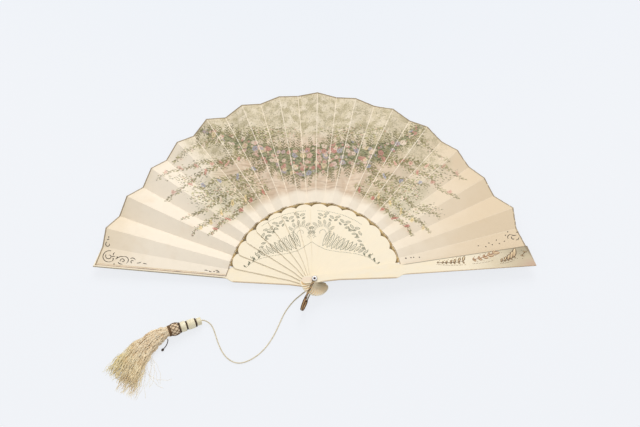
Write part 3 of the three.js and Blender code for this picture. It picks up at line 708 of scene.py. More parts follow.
def cord_finish(c):
    """Cream yarn, greyer over its stretch next to the fan."""
    f = Finish("cord_yarn")
    place = f.object_place()
    x, _, _ = f.parts(place)
    patches = f.noise(place, 900, 4, 0.6)
    fibre = f.noise(place, 8100, 2)
    tone = f.mix(f.rise(patches, 0.35, 0.68), c.cord, tint(208, 194, 164))
    tone = f.mix(f.rise(x, FOOT.x - 0.046, FOOT.x - 0.02) * 0.6, tone, tint(150, 140, 114))
    return f.done(tone, 0.85, f.bump(fibre, 0.0001, 0.6))


def bead_finish(c):
    """Turned beads: cream with fine rings and darker pits."""
    f = Finish("cream_beads")
    axis = tassel_axis()
    x, y, z = f.parts(f.object_place())
    height = x * axis.x + y * axis.y + z * axis.z
    rings = f.noise(f.vector(height * 5200, 0), 1, 2)
    cloud = f.noise(f.object_place(), 260, 4)
    tone = f.mix(f.rise(cloud, 0.35, 0.7) * 0.5, c.bead, tint(214, 196, 150))
    tone = f.mix(f.rise(rings, 0.56, 0.7) * 0.22, tone, tint(186, 164, 118))
    return f.done(tone, 0.42 + 0.16 * cloud, f.bump(rings, 0.00004, 0.5), **{"Coat Weight": 0.12})


def thread_finish(name, c, shade):
    """Loose threads: tan at the root, with painted shade between the yarns, paler along the locks as painted
    highlight, and yellower at the tips.
    """
    f = Finish(name)
    place = f.object_place()
    x, y, _ = f.parts(place)
    strand = f.noise(f.stretched(place, (700, 700, 700)), 1, 2)
    lock = f.noise(place, 110, 3)
    fleece = f.noise(place, 3800, 2)
    down = (FOOT.x - 0.170 - x) * 0.62 + (FOOT.y - 0.062 - y) * 0.78
    left = (FOOT.x - 0.215 - x) - (FOOT.y - 0.1 - y) * 0.4
    # The tone varies from yarn to yarn and lock to lock, and beyond that it is darkened as painted shade
    # between the yarns and lightened as painted highlight on the locks
    tone = f.mix(f.rise(strand, 0.46, 0.62) * 0.55, c.threads, shade)
    tone = f.mix(f.rise(lock, 0.45, 0.65) * 0.45, tone, tint(255, 242, 216))
    tone = f.mix(f.rise(lock, 0.46, 0.36) * 0.4, tone, tint(204, 166, 122))
    tips = f.rise(down + 0.02 * (lock - 0.5), 0.03, 0.065) * 0.25 + f.rise(left, 0.0, 0.03) * 0.5
    tone = f.mix(tips, tone, c.thread_tips)
    return f.done(tone, 0.9, f.bump(fleece, 0.00008, 0.6))


def floor_finish(c):
    """Pale board, seen brighter than it is so that shadows on it stay faint."""
    f = Finish("pale_floor")
    place = f.object_place()
    x, y, _ = f.parts(place)
    cloud = f.noise(place, 1.4, 2)
    tone = f.mix(cloud * 0.25, c.floor, tint(236, 240, 244))
    # Painted light: the glow that the camera sees is darker towards the back, most of all behind the middle
    fall = f.rise(y - 0.35 * abs(x - 0.02), -0.1, 0.42)
    seen = f.mix(fall * 0.9, tint(242, 244, 248), tint(236, 240, 246))
    board = f.out(f.node("ShaderNodeBsdfPrincipled", None, {"Base Color": tone, "Roughness": 0.9}))
    glow = f.out(f.node("ShaderNodeEmission", None, {"Color": seen, "Strength": 1.0}))
    camera = f.out(f.node("ShaderNodeLightPath"), "Is Camera Ray")
    mixed = f.out(f.node("ShaderNodeMixShader", None, {0: camera * 0.86, 1: board, 2: glow}))
    f.node("ShaderNodeOutputMaterial", None, {"Surface": mixed})
    return f.material


# Modelling helpers


def choose(piece):
    """Only this piece is selected and active."""
    bpy.ops.object.select_all(action="DESELECT")
    piece.select_set(True)
    bpy.context.view_layer.objects.active = piece


def added(name, data):
    """A new object that holds this data, alone selected."""
    piece = bpy.data.objects.new(name, data)
    bpy.context.scene.collection.objects.link(piece)
    choose(piece)
    return piece


def fresh(primitive, **values):
    """A new primitive at its size and place, alone selected."""
    bpy.ops.object.select_all(action="DESELECT")
    primitive(**values)
    return bpy.context.view_layer.objects.active


def named(piece, name):
    """Names a piece and its mesh."""
    piece.name = name
    piece.data.name = name
    return piece


def settle(piece, matrix):
    """Moves a piece by a matrix, and leaves its object at the origin."""
    choose(piece)
    piece.matrix_world = matrix @ piece.matrix_world
    bpy.ops.object.transform_apply(location=True, rotation=True, scale=True)
    return piece


def clean(piece, merge=1e-7):
    """Merges doubled points, and turns the faces outwards."""
    choose(piece)
    bpy.ops.object.mode_set(mode="EDIT")
    bpy.ops.mesh.select_all(action="SELECT")
    bpy.ops.mesh.remove_doubles(threshold=merge)
    bpy.ops.mesh.normals_make_consistent(inside=False)
    bpy.ops.object.mode_set(mode="OBJECT")
    return piece


def soften(piece, width, segments=2, angle=35, smooth=22):
    """Rounds a piece's sharp edges, and shades the rest smooth."""
    choose(piece)
    rounding = piece.modifiers.new("rounding", "BEVEL")
    rounding.width = width
    rounding.segments = segments
    rounding.limit_method = "ANGLE"
    rounding.angle_limit = math.radians(angle)
    bpy.ops.object.modifier_apply(modifier=rounding.name)
    bpy.ops.object.shade_smooth_by_angle(angle=math.radians(smooth))
    return piece


def dress(piece, body, slot, *finishes, replaces=()):
    """Gives a piece its materials and its body, and hides the CAD nodes that it stands for. Its slot is not
    used.
    """
    for finish in finishes:
        piece.data.materials.append(finish)
    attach(piece, body)
    if replaces:
        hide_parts(*replaces)
    return piece


def seat(piece, place, body, slot, finish, replaces=()):
    """Moves a piece that was built at the origin to its place, and dresses it."""
    settle(piece, place)
    return dress(piece, body, slot, finish, replaces=replaces)


def from_node(node_name, piece_name):
    """A merged copy of a CAD node, its flat faces made whole."""
    mesh = frame["nodes"][node_name].data.copy()
    mesh.materials.clear()
    piece = added(piece_name, mesh)
    bpy.ops.mesh.customdata_custom_splitnormals_clear()
    bpy.ops.object.mode_set(mode="EDIT")
    bpy.ops.mesh.select_all(action="SELECT")
    bpy.ops.mesh.remove_doubles(threshold=1e-6)
    bpy.ops.mesh.dissolve_limited(angle_limit=math.radians(0.5))
    bpy.ops.mesh.normals_make_consistent(inside=False)
    bpy.ops.object.mode_set(mode="OBJECT")
    return piece


def lay_uv(piece, name, place):
    """A UV map in which each corner lies where place() puts its point."""
    layer = piece.data.uv_layers.get(name) or piece.data.uv_layers.new(name=name)
    spots = [place(vertex.co) for vertex in piece.data.vertices]
    for loop in piece.data.loops:
        layer.data[loop.index].uv = spots[loop.vertex_index]


def drawn(name, paths, closed=False, radii=None):
    """A curve with one straight-edged spline for each path."""
    curve = bpy.data.curves.new(name, "CURVE")
    curve.dimensions = "3D"
    for i, path in enumerate(paths):
        spline = curve.splines.new("POLY")
        spline.points.add(len(path) - 1)
        spline.use_cyclic_u = closed
        shares = radii[i] if radii else [1.0] * len(path)
        for point, place, share in zip(spline.points, path, shares):
            point.co = (*place, 1)
            point.radius = share
    return curve


def as_mesh(name, curve):
    """The curve made a mesh, alone selected."""
    added(name, curve)
    bpy.ops.object.convert(target="MESH")
    return named(bpy.context.view_layer.objects.active, name)


def wires(name, paths, radius, resolution=0, radii=None):
    """Wires along paths, closed at their ends, as one mesh. radii has shares of the radius by point."""
    curve = drawn(name, paths, radii=radii)
    curve.bevel_depth = radius
    curve.bevel_resolution = resolution
    curve.use_fill_caps = True
    piece = clean(as_mesh(name, curve))
    bpy.ops.object.shade_smooth_by_angle(angle=math.radians(50))
    return piece


def loops(name, paths, radius):
    """Closed rings of wire, as one mesh."""
    curve = drawn(name, paths, closed=True)
    curve.bevel_depth = radius
    curve.bevel_resolution = 1
    piece = clean(as_mesh(name, curve))
    bpy.ops.object.shade_smooth()
    return piece


def turned(name, profile, steps=48):
    """A piece turned about +z from a line of radius and height that starts and ends on the axis."""
    piece = as_mesh(name, drawn(name, [[(radius, 0, height) for radius, height in profile]]))
    bpy.ops.object.mode_set(mode="EDIT")
    bpy.ops.mesh.select_all(action="SELECT")
    bpy.ops.mesh.spin(steps=steps, angle=2 * math.pi, center=(0, 0, 0), axis=(0, 0, 1))
    bpy.ops.object.mode_set(mode="OBJECT")
    clean(piece, 1e-6)
    bpy.ops.object.shade_smooth_by_angle(angle=math.radians(40))
    return piece


def rings(name, heights, reach, thickness, wobble=0.0):
    """Rounds of thread wound about +z, one at each height."""
    paths = []
    for n, height in enumerate(heights):
        path = []
        for i in range(40):
            turn = 2 * math.pi * i / 40
            lift = wobble * math.sin(turn + 2.1 * n)
            path.append(Vector((reach * math.cos(turn), reach * math.sin(turn), height + lift)))
        paths.append(path)
    return loops(name, paths, thickness)


def repeated(name, model, places):
    """One mesh that holds a copy of the model at each place. The model is used up."""
    points = [v.co.copy() for v in model.data.vertices]
    faces = [tuple(p.vertices) for p in model.data.polygons]
    all_points, all_faces = [], []
    for place in places:
        start = len(all_points)
        all_points.extend(place @ point for point in points)
        all_faces.extend(tuple(start + i for i in face) for face in faces)
    bpy.data.objects.remove(model)
    mesh = bpy.data.meshes.new(name)
    mesh.from_pydata(all_points, [], all_faces)
    piece = added(name, mesh)
    bpy.ops.object.shade_smooth_by_angle(angle=math.radians(60))
    return piece


def catmull(points, step):
    """A smooth line through points, with a point every step along it."""
    ends = [2 * points[0] - points[1], *points, 2 * points[-1] - points[-2]]
    fine = []
    for p0, p1, p2, p3 in zip(ends, ends[1:], ends[2:], ends[3:]):
        t1 = max((p1 - p0).length, 1e-9) ** 0.5
        t2 = t1 + max((p2 - p1).length, 1e-9) ** 0.5
        t3 = t2 + max((p3 - p2).length, 1e-9) ** 0.5
        for i in range(24):
            t = t1 + (t2 - t1) * i / 24
            a1 = p0 * ((t1 - t) / t1) + p1 * (t / t1)
            a2 = p1 * ((t2 - t) / (t2 - t1)) + p2 * ((t - t1) / (t2 - t1))
            a3 = p2 * ((t3 - t) / (t3 - t2)) + p3 * ((t - t2) / (t3 - t2))
            b1 = a1 * ((t2 - t) / t2) + a2 * (t / t2)
            b2 = a2 * ((t3 - t) / (t3 - t1)) + a3 * ((t - t1) / (t3 - t1))
            fine.append(b1 * ((t2 - t) / (t2 - t1)) + b2 * ((t - t1) / (t2 - t1)))
    fine.append(points[-1].copy())
    return evenly(fine, step)


def evenly(line, step):
    """The same line with its points spread evenly, about step apart."""
    lengths = [0.0]
    for a, b in zip(line, line[1:]):
        lengths.append(lengths[-1] + (b - a).length)
    count = max(2, round(lengths[-1] / step))
    placed, i = [], 0
    for n in range(count + 1):
        goal = lengths[-1] * n / count
        while i < len(line) - 2 and lengths[i + 1] < goal:
            i += 1
        share = (goal - lengths[i]) / max(lengths[i + 1] - lengths[i], 1e-12)
        placed.append(line[i].lerp(line[i + 1], min(1.0, share)))
    return placed


def twisted(line, step, pitch, shares, reach):
    """Strands wound round a line with a point every step: one for each share of a turn to start at."""
    strands = []
    for share in shares:
        strand = []
        for i, place in enumerate(line):
            ahead = (line[min(i + 1, len(line) - 1)] - line[max(i - 1, 0)]).normalized()
            side = ahead.cross(UP).normalized()
            phase = 2 * math.pi * (i * step / pitch + share)
            swing = side * math.cos(phase) + side.cross(ahead) * math.sin(phase)
            strand.append(place + swing * reach)
        strands.append(strand)
    return strands


def tassel_axis():
    """The way from the tassel's first bead to its threads."""
    lean = math.cos(TASSEL_PITCH)
    return Vector((math.cos(TASSEL_AZIMUTH) * lean, math.sin(TASSEL_AZIMUTH) * lean, math.sin(TASSEL_PITCH)))


def tassel_frame():
    """Places what is built along +z onto the tassel's axis, from the head of its first bead."""
    start = FOOT + TASSEL_START * MM
    return Matrix.Translation(start) @ UP.rotation_difference(tassel_axis()).to_matrix().to_4x4()


def along_tassel(node_name):
    """A node's start, end and radius along the tassel's axis."""
    back = tassel_frame().inverted()
    points = [back @ vertex.co for vertex in frame["nodes"][node_name].data.vertices]
    reach = max(math.hypot(p.x, p.y) for p in points)
    return min(p.z for p in points), max(p.z for p in points), reach


def fan_heights(node_name):
    """A node's lowest and highest place along the rivet's axis."""
    heights = [(FAN_BACK @ vertex.co).z for vertex in frame["nodes"][node_name].data.vertices]
    return min(heights), max(heights)


def body_of_stick(k):
    """The body that carries a stick, counted from the back guard at 0 to the front guard."""
    return "root" if k == 0 else "front_guard_arm" if k == LAST else f"stick_{k:02d}_arm"


# Camera and cord


class FAN_OT_camera(bpy.types.Operator):
    """Sets the camera above and before the opened fan"""

    bl_idname = "fan.camera"
    bl_label = "Camera"

    def execute(self, context):
        data = bpy.data.cameras.new("camera")
        data.sensor_width = 36
        data.lens = data.sensor_width / 2 / math.tan(CAMERA_ANGLE / 2)
        data.clip_start = 0.05
        data.clip_end = 20
        camera = bpy.data.objects.new("camera", data)
        context.scene.collection.objects.link(camera)
        camera.rotation_mode = "QUATERNION"
        camera.location = CAMERA_PLACE
        camera.rotation_quaternion = (CAMERA_AIM - CAMERA_PLACE).to_track_quat("-Z", "Y")
        context.scene.camera = camera
        return {"FINISHED"}


def cord_points():
    """The cord's route in the shared frame: flat on the table, and up to the first bead at its end."""
    height = TASSEL_START.z
    points = []
    for i, (x, y) in enumerate(CORD_ROUTE):
        climb = max(0, i - len(CORD_ROUTE) + CORD_CLIMB_POINTS) / CORD_CLIMB_POINTS
        points.append(FOOT + Vector((x, y, CORD_REST + climb * climb * (height - CORD_REST))) * MM)
    for back in (1.9, 0.3):
        away = Vector((math.cos(TASSEL_AZIMUTH), math.sin(TASSEL_AZIMUTH), 0)) * back
        points.append(FOOT + (TASSEL_START - away) * MM)
    return points


class FAN_OT_cord(bpy.types.Operator):
    """Lays the twisted cord from the rivet to the tassel, with the small knot that it starts in"""

    bl_idname = "fan.cord"
    bl_label = "Cord"

    def execute(self, context):
        s, c = context.scene.fan_sizes, context.scene.fan_colours
        line = catmull(cord_points(), CORD_STEP)
        ply = s.cord_diameter * 0.26
        strands = twisted(line, CORD_STEP, s.cord_twist, (0, 1 / 3, 2 / 3), s.cord_diameter / 2 - ply)
        cord = wires("twisted_cord", strands, ply, 1)
        finish = cord_finish(c)
        dress(cord, "root", "cord", finish, replaces=["cord"])
        knot_middle = line[0] + Vector((0.0002, 0.0003, 0.0003))
        knot = []
        for i in range(48):
            t = 2 * math.pi * i / 48
            reach = 0.0007 * (1 + 0.45 * math.cos(3 * t))
            flat = Vector((math.cos(2 * t), math.sin(2 * t), 0)) * reach
            knot.append(knot_middle + flat + UP * (0.00035 * math.sin(3 * t)))
        start_knot = loops("cord_start_knot", [knot], 0.00042)
        dress(start_knot, "root", "cord", finish)
        path = evenly(line, 0.003)
        sum((b - a).length for a, b in zip(path, path[1:]))
        return {"FINISHED"}


# Blades, guards and leaf


class FAN_OT_blades(bpy.types.Operator):
    """Makes the fourteen scalloped blades and the two guards, with rounded edges and bone grain"""

    bl_idname = "fan.blades"
    bl_label = "Blades and guards"

    def execute(self, context):
        s, c = context.scene.fan_sizes, context.scene.fan_colours
        # The fourth colour of each finish is the painted shade inside the heads' rims
        cream = bone_finish("blade_bone", c, tint(250, 236, 204), tint(252, 212, 150))
        back = bone_finish("back_guard_bone", c, tint(252, 232, 188), tint(250, 212, 152), 1)
        front = bone_finish(
            "front_guard_bone", c, tint(252, 230, 184), tint(240, 218, 192), -1, tint(188, 170, 134),
        )
        for k in range(LAST + 1):
            node = "back_guard" if k == 0 else "front_guard" if k == LAST else f"stick_{k:02d}"
            piece = from_node(node, f"blade_{k:02d}" if 0 < k < LAST else f"{node}_bone")
            soften(piece, s.blade_edge)
            straight = Matrix.Rotation(-AZIMUTHS[k], 4, "Z") @ FAN_BACK
            offset = Vector((0.13 * k, 0.5))
            lay_uv(piece, "stick", lambda co: (straight @ co).xy / STICK_MAP + offset)
            lay_uv(piece, "place", lambda co: (straight @ co).xy / STICK_MAP + STICK_MAP_ORIGIN)
            slot = "sticks" if 0 < k < LAST else node
            finish = back if k == 0 else front if k == LAST else cream
            dress(piece, body_of_stick(k), slot, finish, replaces=[node])
        return {"FINISHED"}


def panel_edges():
    """The leaf's 32 crease lines in the fan's frame, each as its inner and outer end, left to right."""
    names = []
    for k in range(LAST + 1):
        names.append(f"leaf_panel_a{k:02d}")
        if k < LAST:
            names.append(f"leaf_panel_b{k:02d}")
    corners = []
    for name in names:
        seen = {}
        for vertex in frame["nodes"][name].data.vertices:
            point = FAN_BACK @ vertex.co
            seen[tuple(round(x, 6) for x in point)] = point
        by_reach = sorted(seen.values(), key=lambda p: p.xy.length)
        ends = []
        for group in (by_reach[:4], by_reach[4:]):
            by_turn = sorted(group, key=lambda p: -math.atan2(p.y, p.x))
            ends.append([(by_turn[0] + by_turn[1]) / 2, (by_turn[2] + by_turn[3]) / 2])
        corners.append(ends)
    lines = [(corners[0][0][0], corners[0][1][0])]
    for left, right in zip(corners, corners[1:]):
        lines.append(tuple((left[end][1] + right[end][0]) / 2 for end in (0, 1)))
    lines.append((corners[-1][0][1], corners[-1][1][1]))
    return names, lines


# How far the worn edge stands out beyond an even one, or in from it where below 0, in millimetres,
# by crease from left to right
EDGE_SPREAD = {
    1: 6.2, 2: 6.2, 3: 1.6, 5: -5.4, 6: -3.8, 7: -4.8, 8: -1.9, 9: -1.5, 10: 3.0, 12: 1.7, 13: 2.9, 14: 1.2,
    15: 6.0, 16: 3.5, 17: 4.6, 18: 0.5, 19: 2.0, 21: -0.7, 22: -2.3, 23: -3.7, 24: -4.5, 25: -6.0, 26: -4.5,
    27: -4.5, 28: 6.0, 29: 1.8, 30: 3.6, 31: 3.6,
}

# Radii of the gilt strips, which carry painted shade in the notches, and how far the paper reaches inwards
# over them
STRIP_INNER = 0.1004
STRIP_OUTER = 0.1071
INNER_LAP = 0.0008

# The first fold lies on the whole face of the back guard: its lower edge, inner and outer end
GUARD_FOLD_EDGE = ((-107.6, 9.2, 1.88), (-269.2, 22.4, 1.88))


def laid_lines(lines):
    """The crease lines as the paper lies: uneven outside, lapped inside, and over the back guard."""
    laid = []
    for i, (inner, outer) in enumerate(lines):
        spread = EDGE_SPREAD.get(i, 0.0) * MM
        out = (outer - inner).normalized()
        laid.append((inner - out * INNER_LAP, outer + out * spread))
    laid[0] = tuple(Vector(end) * MM for end in GUARD_FOLD_EDGE)
    return laid


class FAN_OT_leaf(bpy.types.Operator):
    """Makes the pleated paper leaf, fold by fold, with its painting and plain back"""

    bl_idname = "fan.leaf"
    bl_label = "Pleated leaf"

    def execute(self, context):
        s, c = context.scene.fan_sizes, context.scene.fan_colours
        front = leaf_finish(c)
        back = paper_finish("leaf_back", c.paper_back, tint(216, 200, 174))
        names, lines = panel_edges()
        lines = laid_lines(lines)
        draw = random.Random(context.scene.fan_sizes.seed)
        for i, name in enumerate(names):
            (in_left, out_left), (in_right, out_right) = lines[i], lines[i + 1]
            piece = fresh(bpy.ops.mesh.primitive_grid_add, x_subdivisions=6, y_subdivisions=44, size=1)
            named(piece, name.replace("leaf_panel_", "fold_"))
            piece.data.uv_layers[0].name = "panel"
            normal = (in_right - out_left).cross(out_right - in_left).normalized()
            normal = normal if normal.z > 0 else -normal
            wave = draw.uniform(0, 6.28)
            # The paper's edge is more worn in the right half
            nibble = draw.uniform(0.0001, 0.0007) if i > 18 else draw.uniform(0, 0.0002)
            for vertex in piece.data.vertices:
                u, v = vertex.co.x + 0.5, vertex.co.y + 0.5
                place = in_left.lerp(in_right, u).lerp(out_left.lerp(out_right, u), v)
                bow = math.sin(math.pi * u) * s.leaf_bow * (1 + 0.6 * math.sin(7 * v + wave))
                if v > 0.99:
                    bite = place.normalized() * nibble * abs(math.sin(9 * u + wave))
                    place = place - bite * math.sin(math.pi * u) ** 0.5
                vertex.co = FAN @ (place + normal * bow)
            lay_uv(piece, "painting", lambda co: (FAN_BACK @ co).xy / LEAF_MAP + Vector((0.5, 0)))
            paper = piece.modifiers.new("paper", "SOLIDIFY")
            paper.thickness = s.leaf_thickness
            paper.offset = 0
            paper.material_offset = 1
            choose(piece)
            piece.data.materials.append(front)
            piece.data.materials.append(back)
            bpy.ops.object.modifier_apply(modifier=paper.name)
            bpy.ops.object.shade_smooth_by_angle(angle=math.radians(40))
            k = int(name[-2:])
            body = body_of_stick(k) if "_a" in name else f"pleat_{k:02d}_flap"
            dress(piece, body, "leaf", replaces=[name])
            if "_a" in name and 0 < k < LAST:
                apex = (in_left + in_right) / 2
                tuple(FAN @ apex)
                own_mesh(piece)
        return {"FINISHED"}


def stick_height(k):
    """How high the foot of a stick's blade stands above the back guard's."""
    return fan_heights("front_guard" if k == LAST else f"stick_{k:02d}")[0]


def sector(name, azimuth, half_angle, inner, outer, low, high, steps=14):
    """A closed arc-shaped plate between two radii, in the fan's frame."""
    piece = fresh(bpy.ops.mesh.primitive_grid_add, x_subdivisions=steps, y_subdivisions=2, size=1)
    named(piece, name)
    for vertex in piece.data.vertices:
        turn = azimuth + vertex.co.x * 2 * half_angle
        reach = inner + (0.5 - vertex.co.y) * (outer - inner)
        vertex.co = (reach * math.cos(turn), reach * math.sin(turn), low)
    depth = piece.modifiers.new("depth", "SOLIDIFY")
    depth.thickness = high - low
    depth.offset = 1
    choose(piece)
    bpy.ops.object.modifier_apply(modifier=depth.name)
    return clean(piece)


class FAN_OT_trim(bpy.types.Operator):
    """Makes the gilt strips that show in the notches between the blades' tips and the leaf, with painted
    shade in the notches
    """

    bl_idname = "fan.trim"
    bl_label = "Gilt strips"

    def execute(self, context):
        c = context.scene.fan_colours
        gilt = notch_finish()
        for k in range(1, LAST):
            low = stick_height(k)
            left, right = (AZIMUTHS[k - 1] + AZIMUTHS[k]) / 2, (AZIMUTHS[k] + AZIMUTHS[k + 1]) / 2
            strip = sector(
                f"gilt_strip_{k:02d}", (left + right) / 2, (left - right) / 2 + 0.001,
                STRIP_INNER, STRIP_OUTER, low + 0.00012, low + 0.0004,
            )
            seat(strip, FAN, body_of_stick(k), "leaf", gilt)
        return {"FINISHED"}


# Ornament


class Ground:
    """Pieces seen from above the fan, for laying small work on whichever is uppermost."""

    def __init__(self, names):
        self.trees = {}
        for name in names:
            mesh = bpy.data.objects[name].data
            points = [FAN_BACK @ vertex.co for vertex in mesh.vertices]
            faces = [tuple(polygon.vertices) for polygon in mesh.polygons]
            self.trees[name] = BVHTree.FromPolygons(points, faces)

    def under(self, x, y, only=None):
        """The uppermost piece's name, and the point and normal of its face, below a spot in millimetres."""
        best = None
        for name, tree in self.trees.items():
            if only and name != only:
                continue
            place, normal, _, _ = tree.ray_cast(Vector((x * MM, y * MM, 0.1)), Vector((0, 0, -1)))
            if place is not None and (best is None or place.z > best[1].z):
                best = (name, place, normal)
        return best


def polar(reach, degrees, x=0.0, y=0.0):
    """The spot at a reach and direction from x and y."""
    turn = math.radians(degrees)
    return (x + reach * math.cos(turn), y + reach * math.sin(turn))


def spiral(cx, cy, first, last, start, end, count=22):
    """Points on a spiral round a middle: radii in millimetres and angles in degrees."""
    points = []
    for i in range(count + 1):
        share = i / count
        points.append(polar(first + (last - first) * share, start + (end - start) * share, cx, cy))
    return points


def arc(a, b, bow, count=12):
    """Points from a to b that bow to the left by the given length."""
    dx, dy = b[0] - a[0], b[1] - a[1]
    length = math.hypot(dx, dy)
    points = []
    for i in range(count + 1):
        share = i / count
        out = bow * 4 * share * (1 - share)
        points.append((a[0] + dx * share - dy / length * out, a[1] + dy * share + dx / length * out))
    return points


# Least height of a painted stroke above the piece that carries it
SKIN = 0.00001


def swell(count):
    """Shares of a brush stroke's thickness: thin at its ends and full in between."""
    shares = []
    for i in range(count + 1):
        if i < count * 0.5:
            shares.append(0.6 + 0.4 * math.sin(math.pi * min(1, 0.15 + 0.85 * i / count)))
        else:
            shares.append(0.4 + 0.6 * math.sin(math.pi * i / count))
    return shares


def lay_strokes(name, ground, lines, radius, height, resolution=1):
    """Brush strokes laid on what is under them, one mesh for each piece that carries some.

    They are made as tubes and pressed flat, to the given height above the piece. Returns name: mesh.
    """
    carried = {}
    for line in lines:
        start = ground.under(*line[0])
        if start is None:
            continue
        path, shares = [], []
        for (x, y), share in zip(line, swell(len(line) - 1)):
            hit = ground.under(x, y, start[0])
            if hit is not None:
                path.append(FAN @ hit[1])
                shares.append(share)
        if len(path) > 1:
            carried.setdefault(start[0], []).append((path, shares))
    made = {}
    for i, (under, laid) in enumerate(sorted(carried.items())):
        paths, shares = zip(*laid)
        strokes = wires(f"{name}_{i:02d}", paths, radius, resolution, shares)
        for vertex in strokes.data.vertices:
            place = FAN_BACK @ vertex.co
            hit = ground.under(place.x / MM, place.y / MM, under)
            if hit is not None:
                above = max(0.0, place.z - hit[1].z) / radius
                place.z = hit[1].z + SKIN + above * height
                vertex.co = FAN @ place
        made[under] = strokes
    return made


def lay_dots(name, ground, spots, radius, height):
    """Flattened beads on what is under each spot, one mesh for each piece that carries some."""
    carried = {}
    for x, y in spots:
        hit = ground.under(x, y)
        if hit is not None:
            upright = UP.rotation_difference(hit[2]).to_matrix().to_4x4()
            carried.setdefault(hit[0], []).append(FAN @ Matrix.Translation(hit[1]) @ upright)
    made = {}
    for i, (under, places) in enumerate(sorted(carried.items())):
        model = fresh(bpy.ops.mesh.primitive_cylinder_add, vertices=7, radius=radius, depth=2 * height)
        made[under] = repeated(f"{name}_{i:02d}", model, places)
    return made


class Pricking:
    """Pricked ornament, gathered as dashes in the fan's plane: x, y and direction."""

    def __init__(self):
        self.dashes = []

    def line(self, points, pitch):
        """Dashes end to end along a line, one every pitch."""
        line = evenly([Vector((x, y, 0)) for x, y in points], pitch)
        for a, b in zip(line, line[1:]):
            middle = (a + b) / 2
            self.dashes.append((middle.x, middle.y, math.atan2(b.y - a.y, b.x - a.x)))

    def leaf(self, x, y, lean, long, wide):
        """A leaf from its foot: two bowed edges and a short vein."""
        turn = math.radians(lean)
        tip = (x + long * math.cos(turn), y + long * math.sin(turn))
        for bow in (-wide / 2, wide / 2):
            self.line(arc((x, y), tip, bow), 1.3)
        foot = (x + (tip[0] - x) * 0.25, y + (tip[1] - y) * 0.25)
        far = (x + (tip[0] - x) * 0.7, y + (tip[1] - y) * 0.7)
        self.line([foot, far], 1.5)

    def mirrored(self, axis):
        """Repeats every dash on the other side of the line at x = axis."""
        for x, y, turn in list(self.dashes):
            self.dashes.append((2 * axis - x, y, math.pi - turn))


# Middle and radius of the right wreath on the blades, in millimetres
WREATH = (9.2, 65)
WREATH_RADIUS = 10.6


def prick_pattern():
    """Two leafy wreaths under an arch of leaves, with feathers that trail away along the blades' feet."""
    p = Pricking()
    edge = (
        (-3.5, 53), (2.6, 48.6), (13.5, 42.2), (27, 38.6), (43.5, 36.2), (58, 32.8), (68, 28.4), (77, 20.5),
    )
    border = catmull([Vector((x, y, 0)) for x, y in edge], 1.9)
    p.line([(point.x, point.y) for point in border], 1.9)
    p.line(spiral(*WREATH, WREATH_RADIUS, WREATH_RADIUS, -70, 215, 40), 1.8)
    for step in range(-60, 216, 13):
        for gap, lean in ((1.5, 62), (-1.5, 118)):
            x, y = polar(WREATH_RADIUS + gap, step, *WREATH)
            p.dashes.append((x, y, math.radians(step) + math.radians(lean)))
    p.line(spiral(*WREATH, 6.2, 2.4, -60, 200, 20), 1.6)
    for lean in range(20, 171, 25):
        p.leaf(*polar(11.8, lean, *WREATH), lean + 28, 6.2, 3)
    for i in range(9):
        heading = 87 - 4.6 * i
        reach = 91.5 - 0.7 * i
        p.leaf(*polar(reach, heading), heading - 90 + (26 if i % 2 else -22), 6.6, 2.8)
        p.leaf(*polar(reach - 4.4, heading), heading - 90 + (40 if i % 2 else -36), 4.4, 2.1)
    p.line([polar(95.4, t) for t in range(88, 50, -2)], 2.1)
    count = 11
    for i in range(count):
        share = i / (count - 1)
        foot = border[round((0.16 + 0.66 * share) * (len(border) - 1))]
        long = 19 * (1 - share) ** 0.75 + 3.6
        lean = 66 - 34 * share
        p.leaf(foot.x + 1.2, foot.y + 2.4, lean, long, 2.6 + 2.2 * (1 - share))
        p.line(arc((foot.x + 4, foot.y + 3), (foot.x + 4 + long * 0.5, foot.y + 3 + long * 0.8), -1.4), 1.5)
    for i in range(7):
        p.leaf(*polar(80 - 1.2 * i, 62 - 4.2 * i), 20 - 9 * i, 5.6, 2.4)
    for i in range(6):
        foot = border[-1 - 2 * i]
        p.leaf(foot.x, foot.y + 1, 118 if i % 2 else 40, 3.4, 1.5)
    p.mirrored(-3.6)
    return p.dashes


class FAN_OT_pricks(bpy.types.Operator):
    """Makes the pricked leaves, wreaths and dots, on whichever blade is uppermost under each"""

    bl_idname = "fan.pricks"
    bl_label = "Pricked work"

    def execute(self, context):
        s, c = context.scene.fan_sizes, context.scene.fan_colours
        ground = Ground([f"blade_{k:02d}" for k in range(1, LAST)] + ["front_guard_bone", "back_guard_bone"])
        finish = paint_finish("pricked_dashes", c.prick, tint(138, 136, 112), 900, 0.7)
        carried = {}
        for x, y, turn in prick_pattern():
            hit = ground.under(x, y)
            if hit is not None and hit[0].startswith("blade"):
                place = FAN @ Matrix.Translation(hit[1]) @ Matrix.Rotation(turn, 4, "Z")
                carried.setdefault(hit[0], []).append(place)
        for under, places in sorted(carried.items()):
            model = fresh(bpy.ops.mesh.primitive_cylinder_add, vertices=6, radius=0.5, depth=1)
            model.scale = (s.prick_length, s.prick_width, 2 * s.prick_height)
            bpy.ops.object.transform_apply(location=True, rotation=True, scale=True)
            k = int(under[-2:])
            pricks = repeated(f"pricks_{k:02d}", model, places)
            dress(pricks, body_of_stick(k), "sticks", finish)
        return {"FINISHED"}


def on_guard(along, aside):
    """A spot of the front guard, given along it and across it, in the fan's plane."""
    cos, sin = math.cos(AZIMUTHS[LAST]), math.sin(AZIMUTHS[LAST])
    return (along * cos - aside * sin, along * sin + aside * cos)


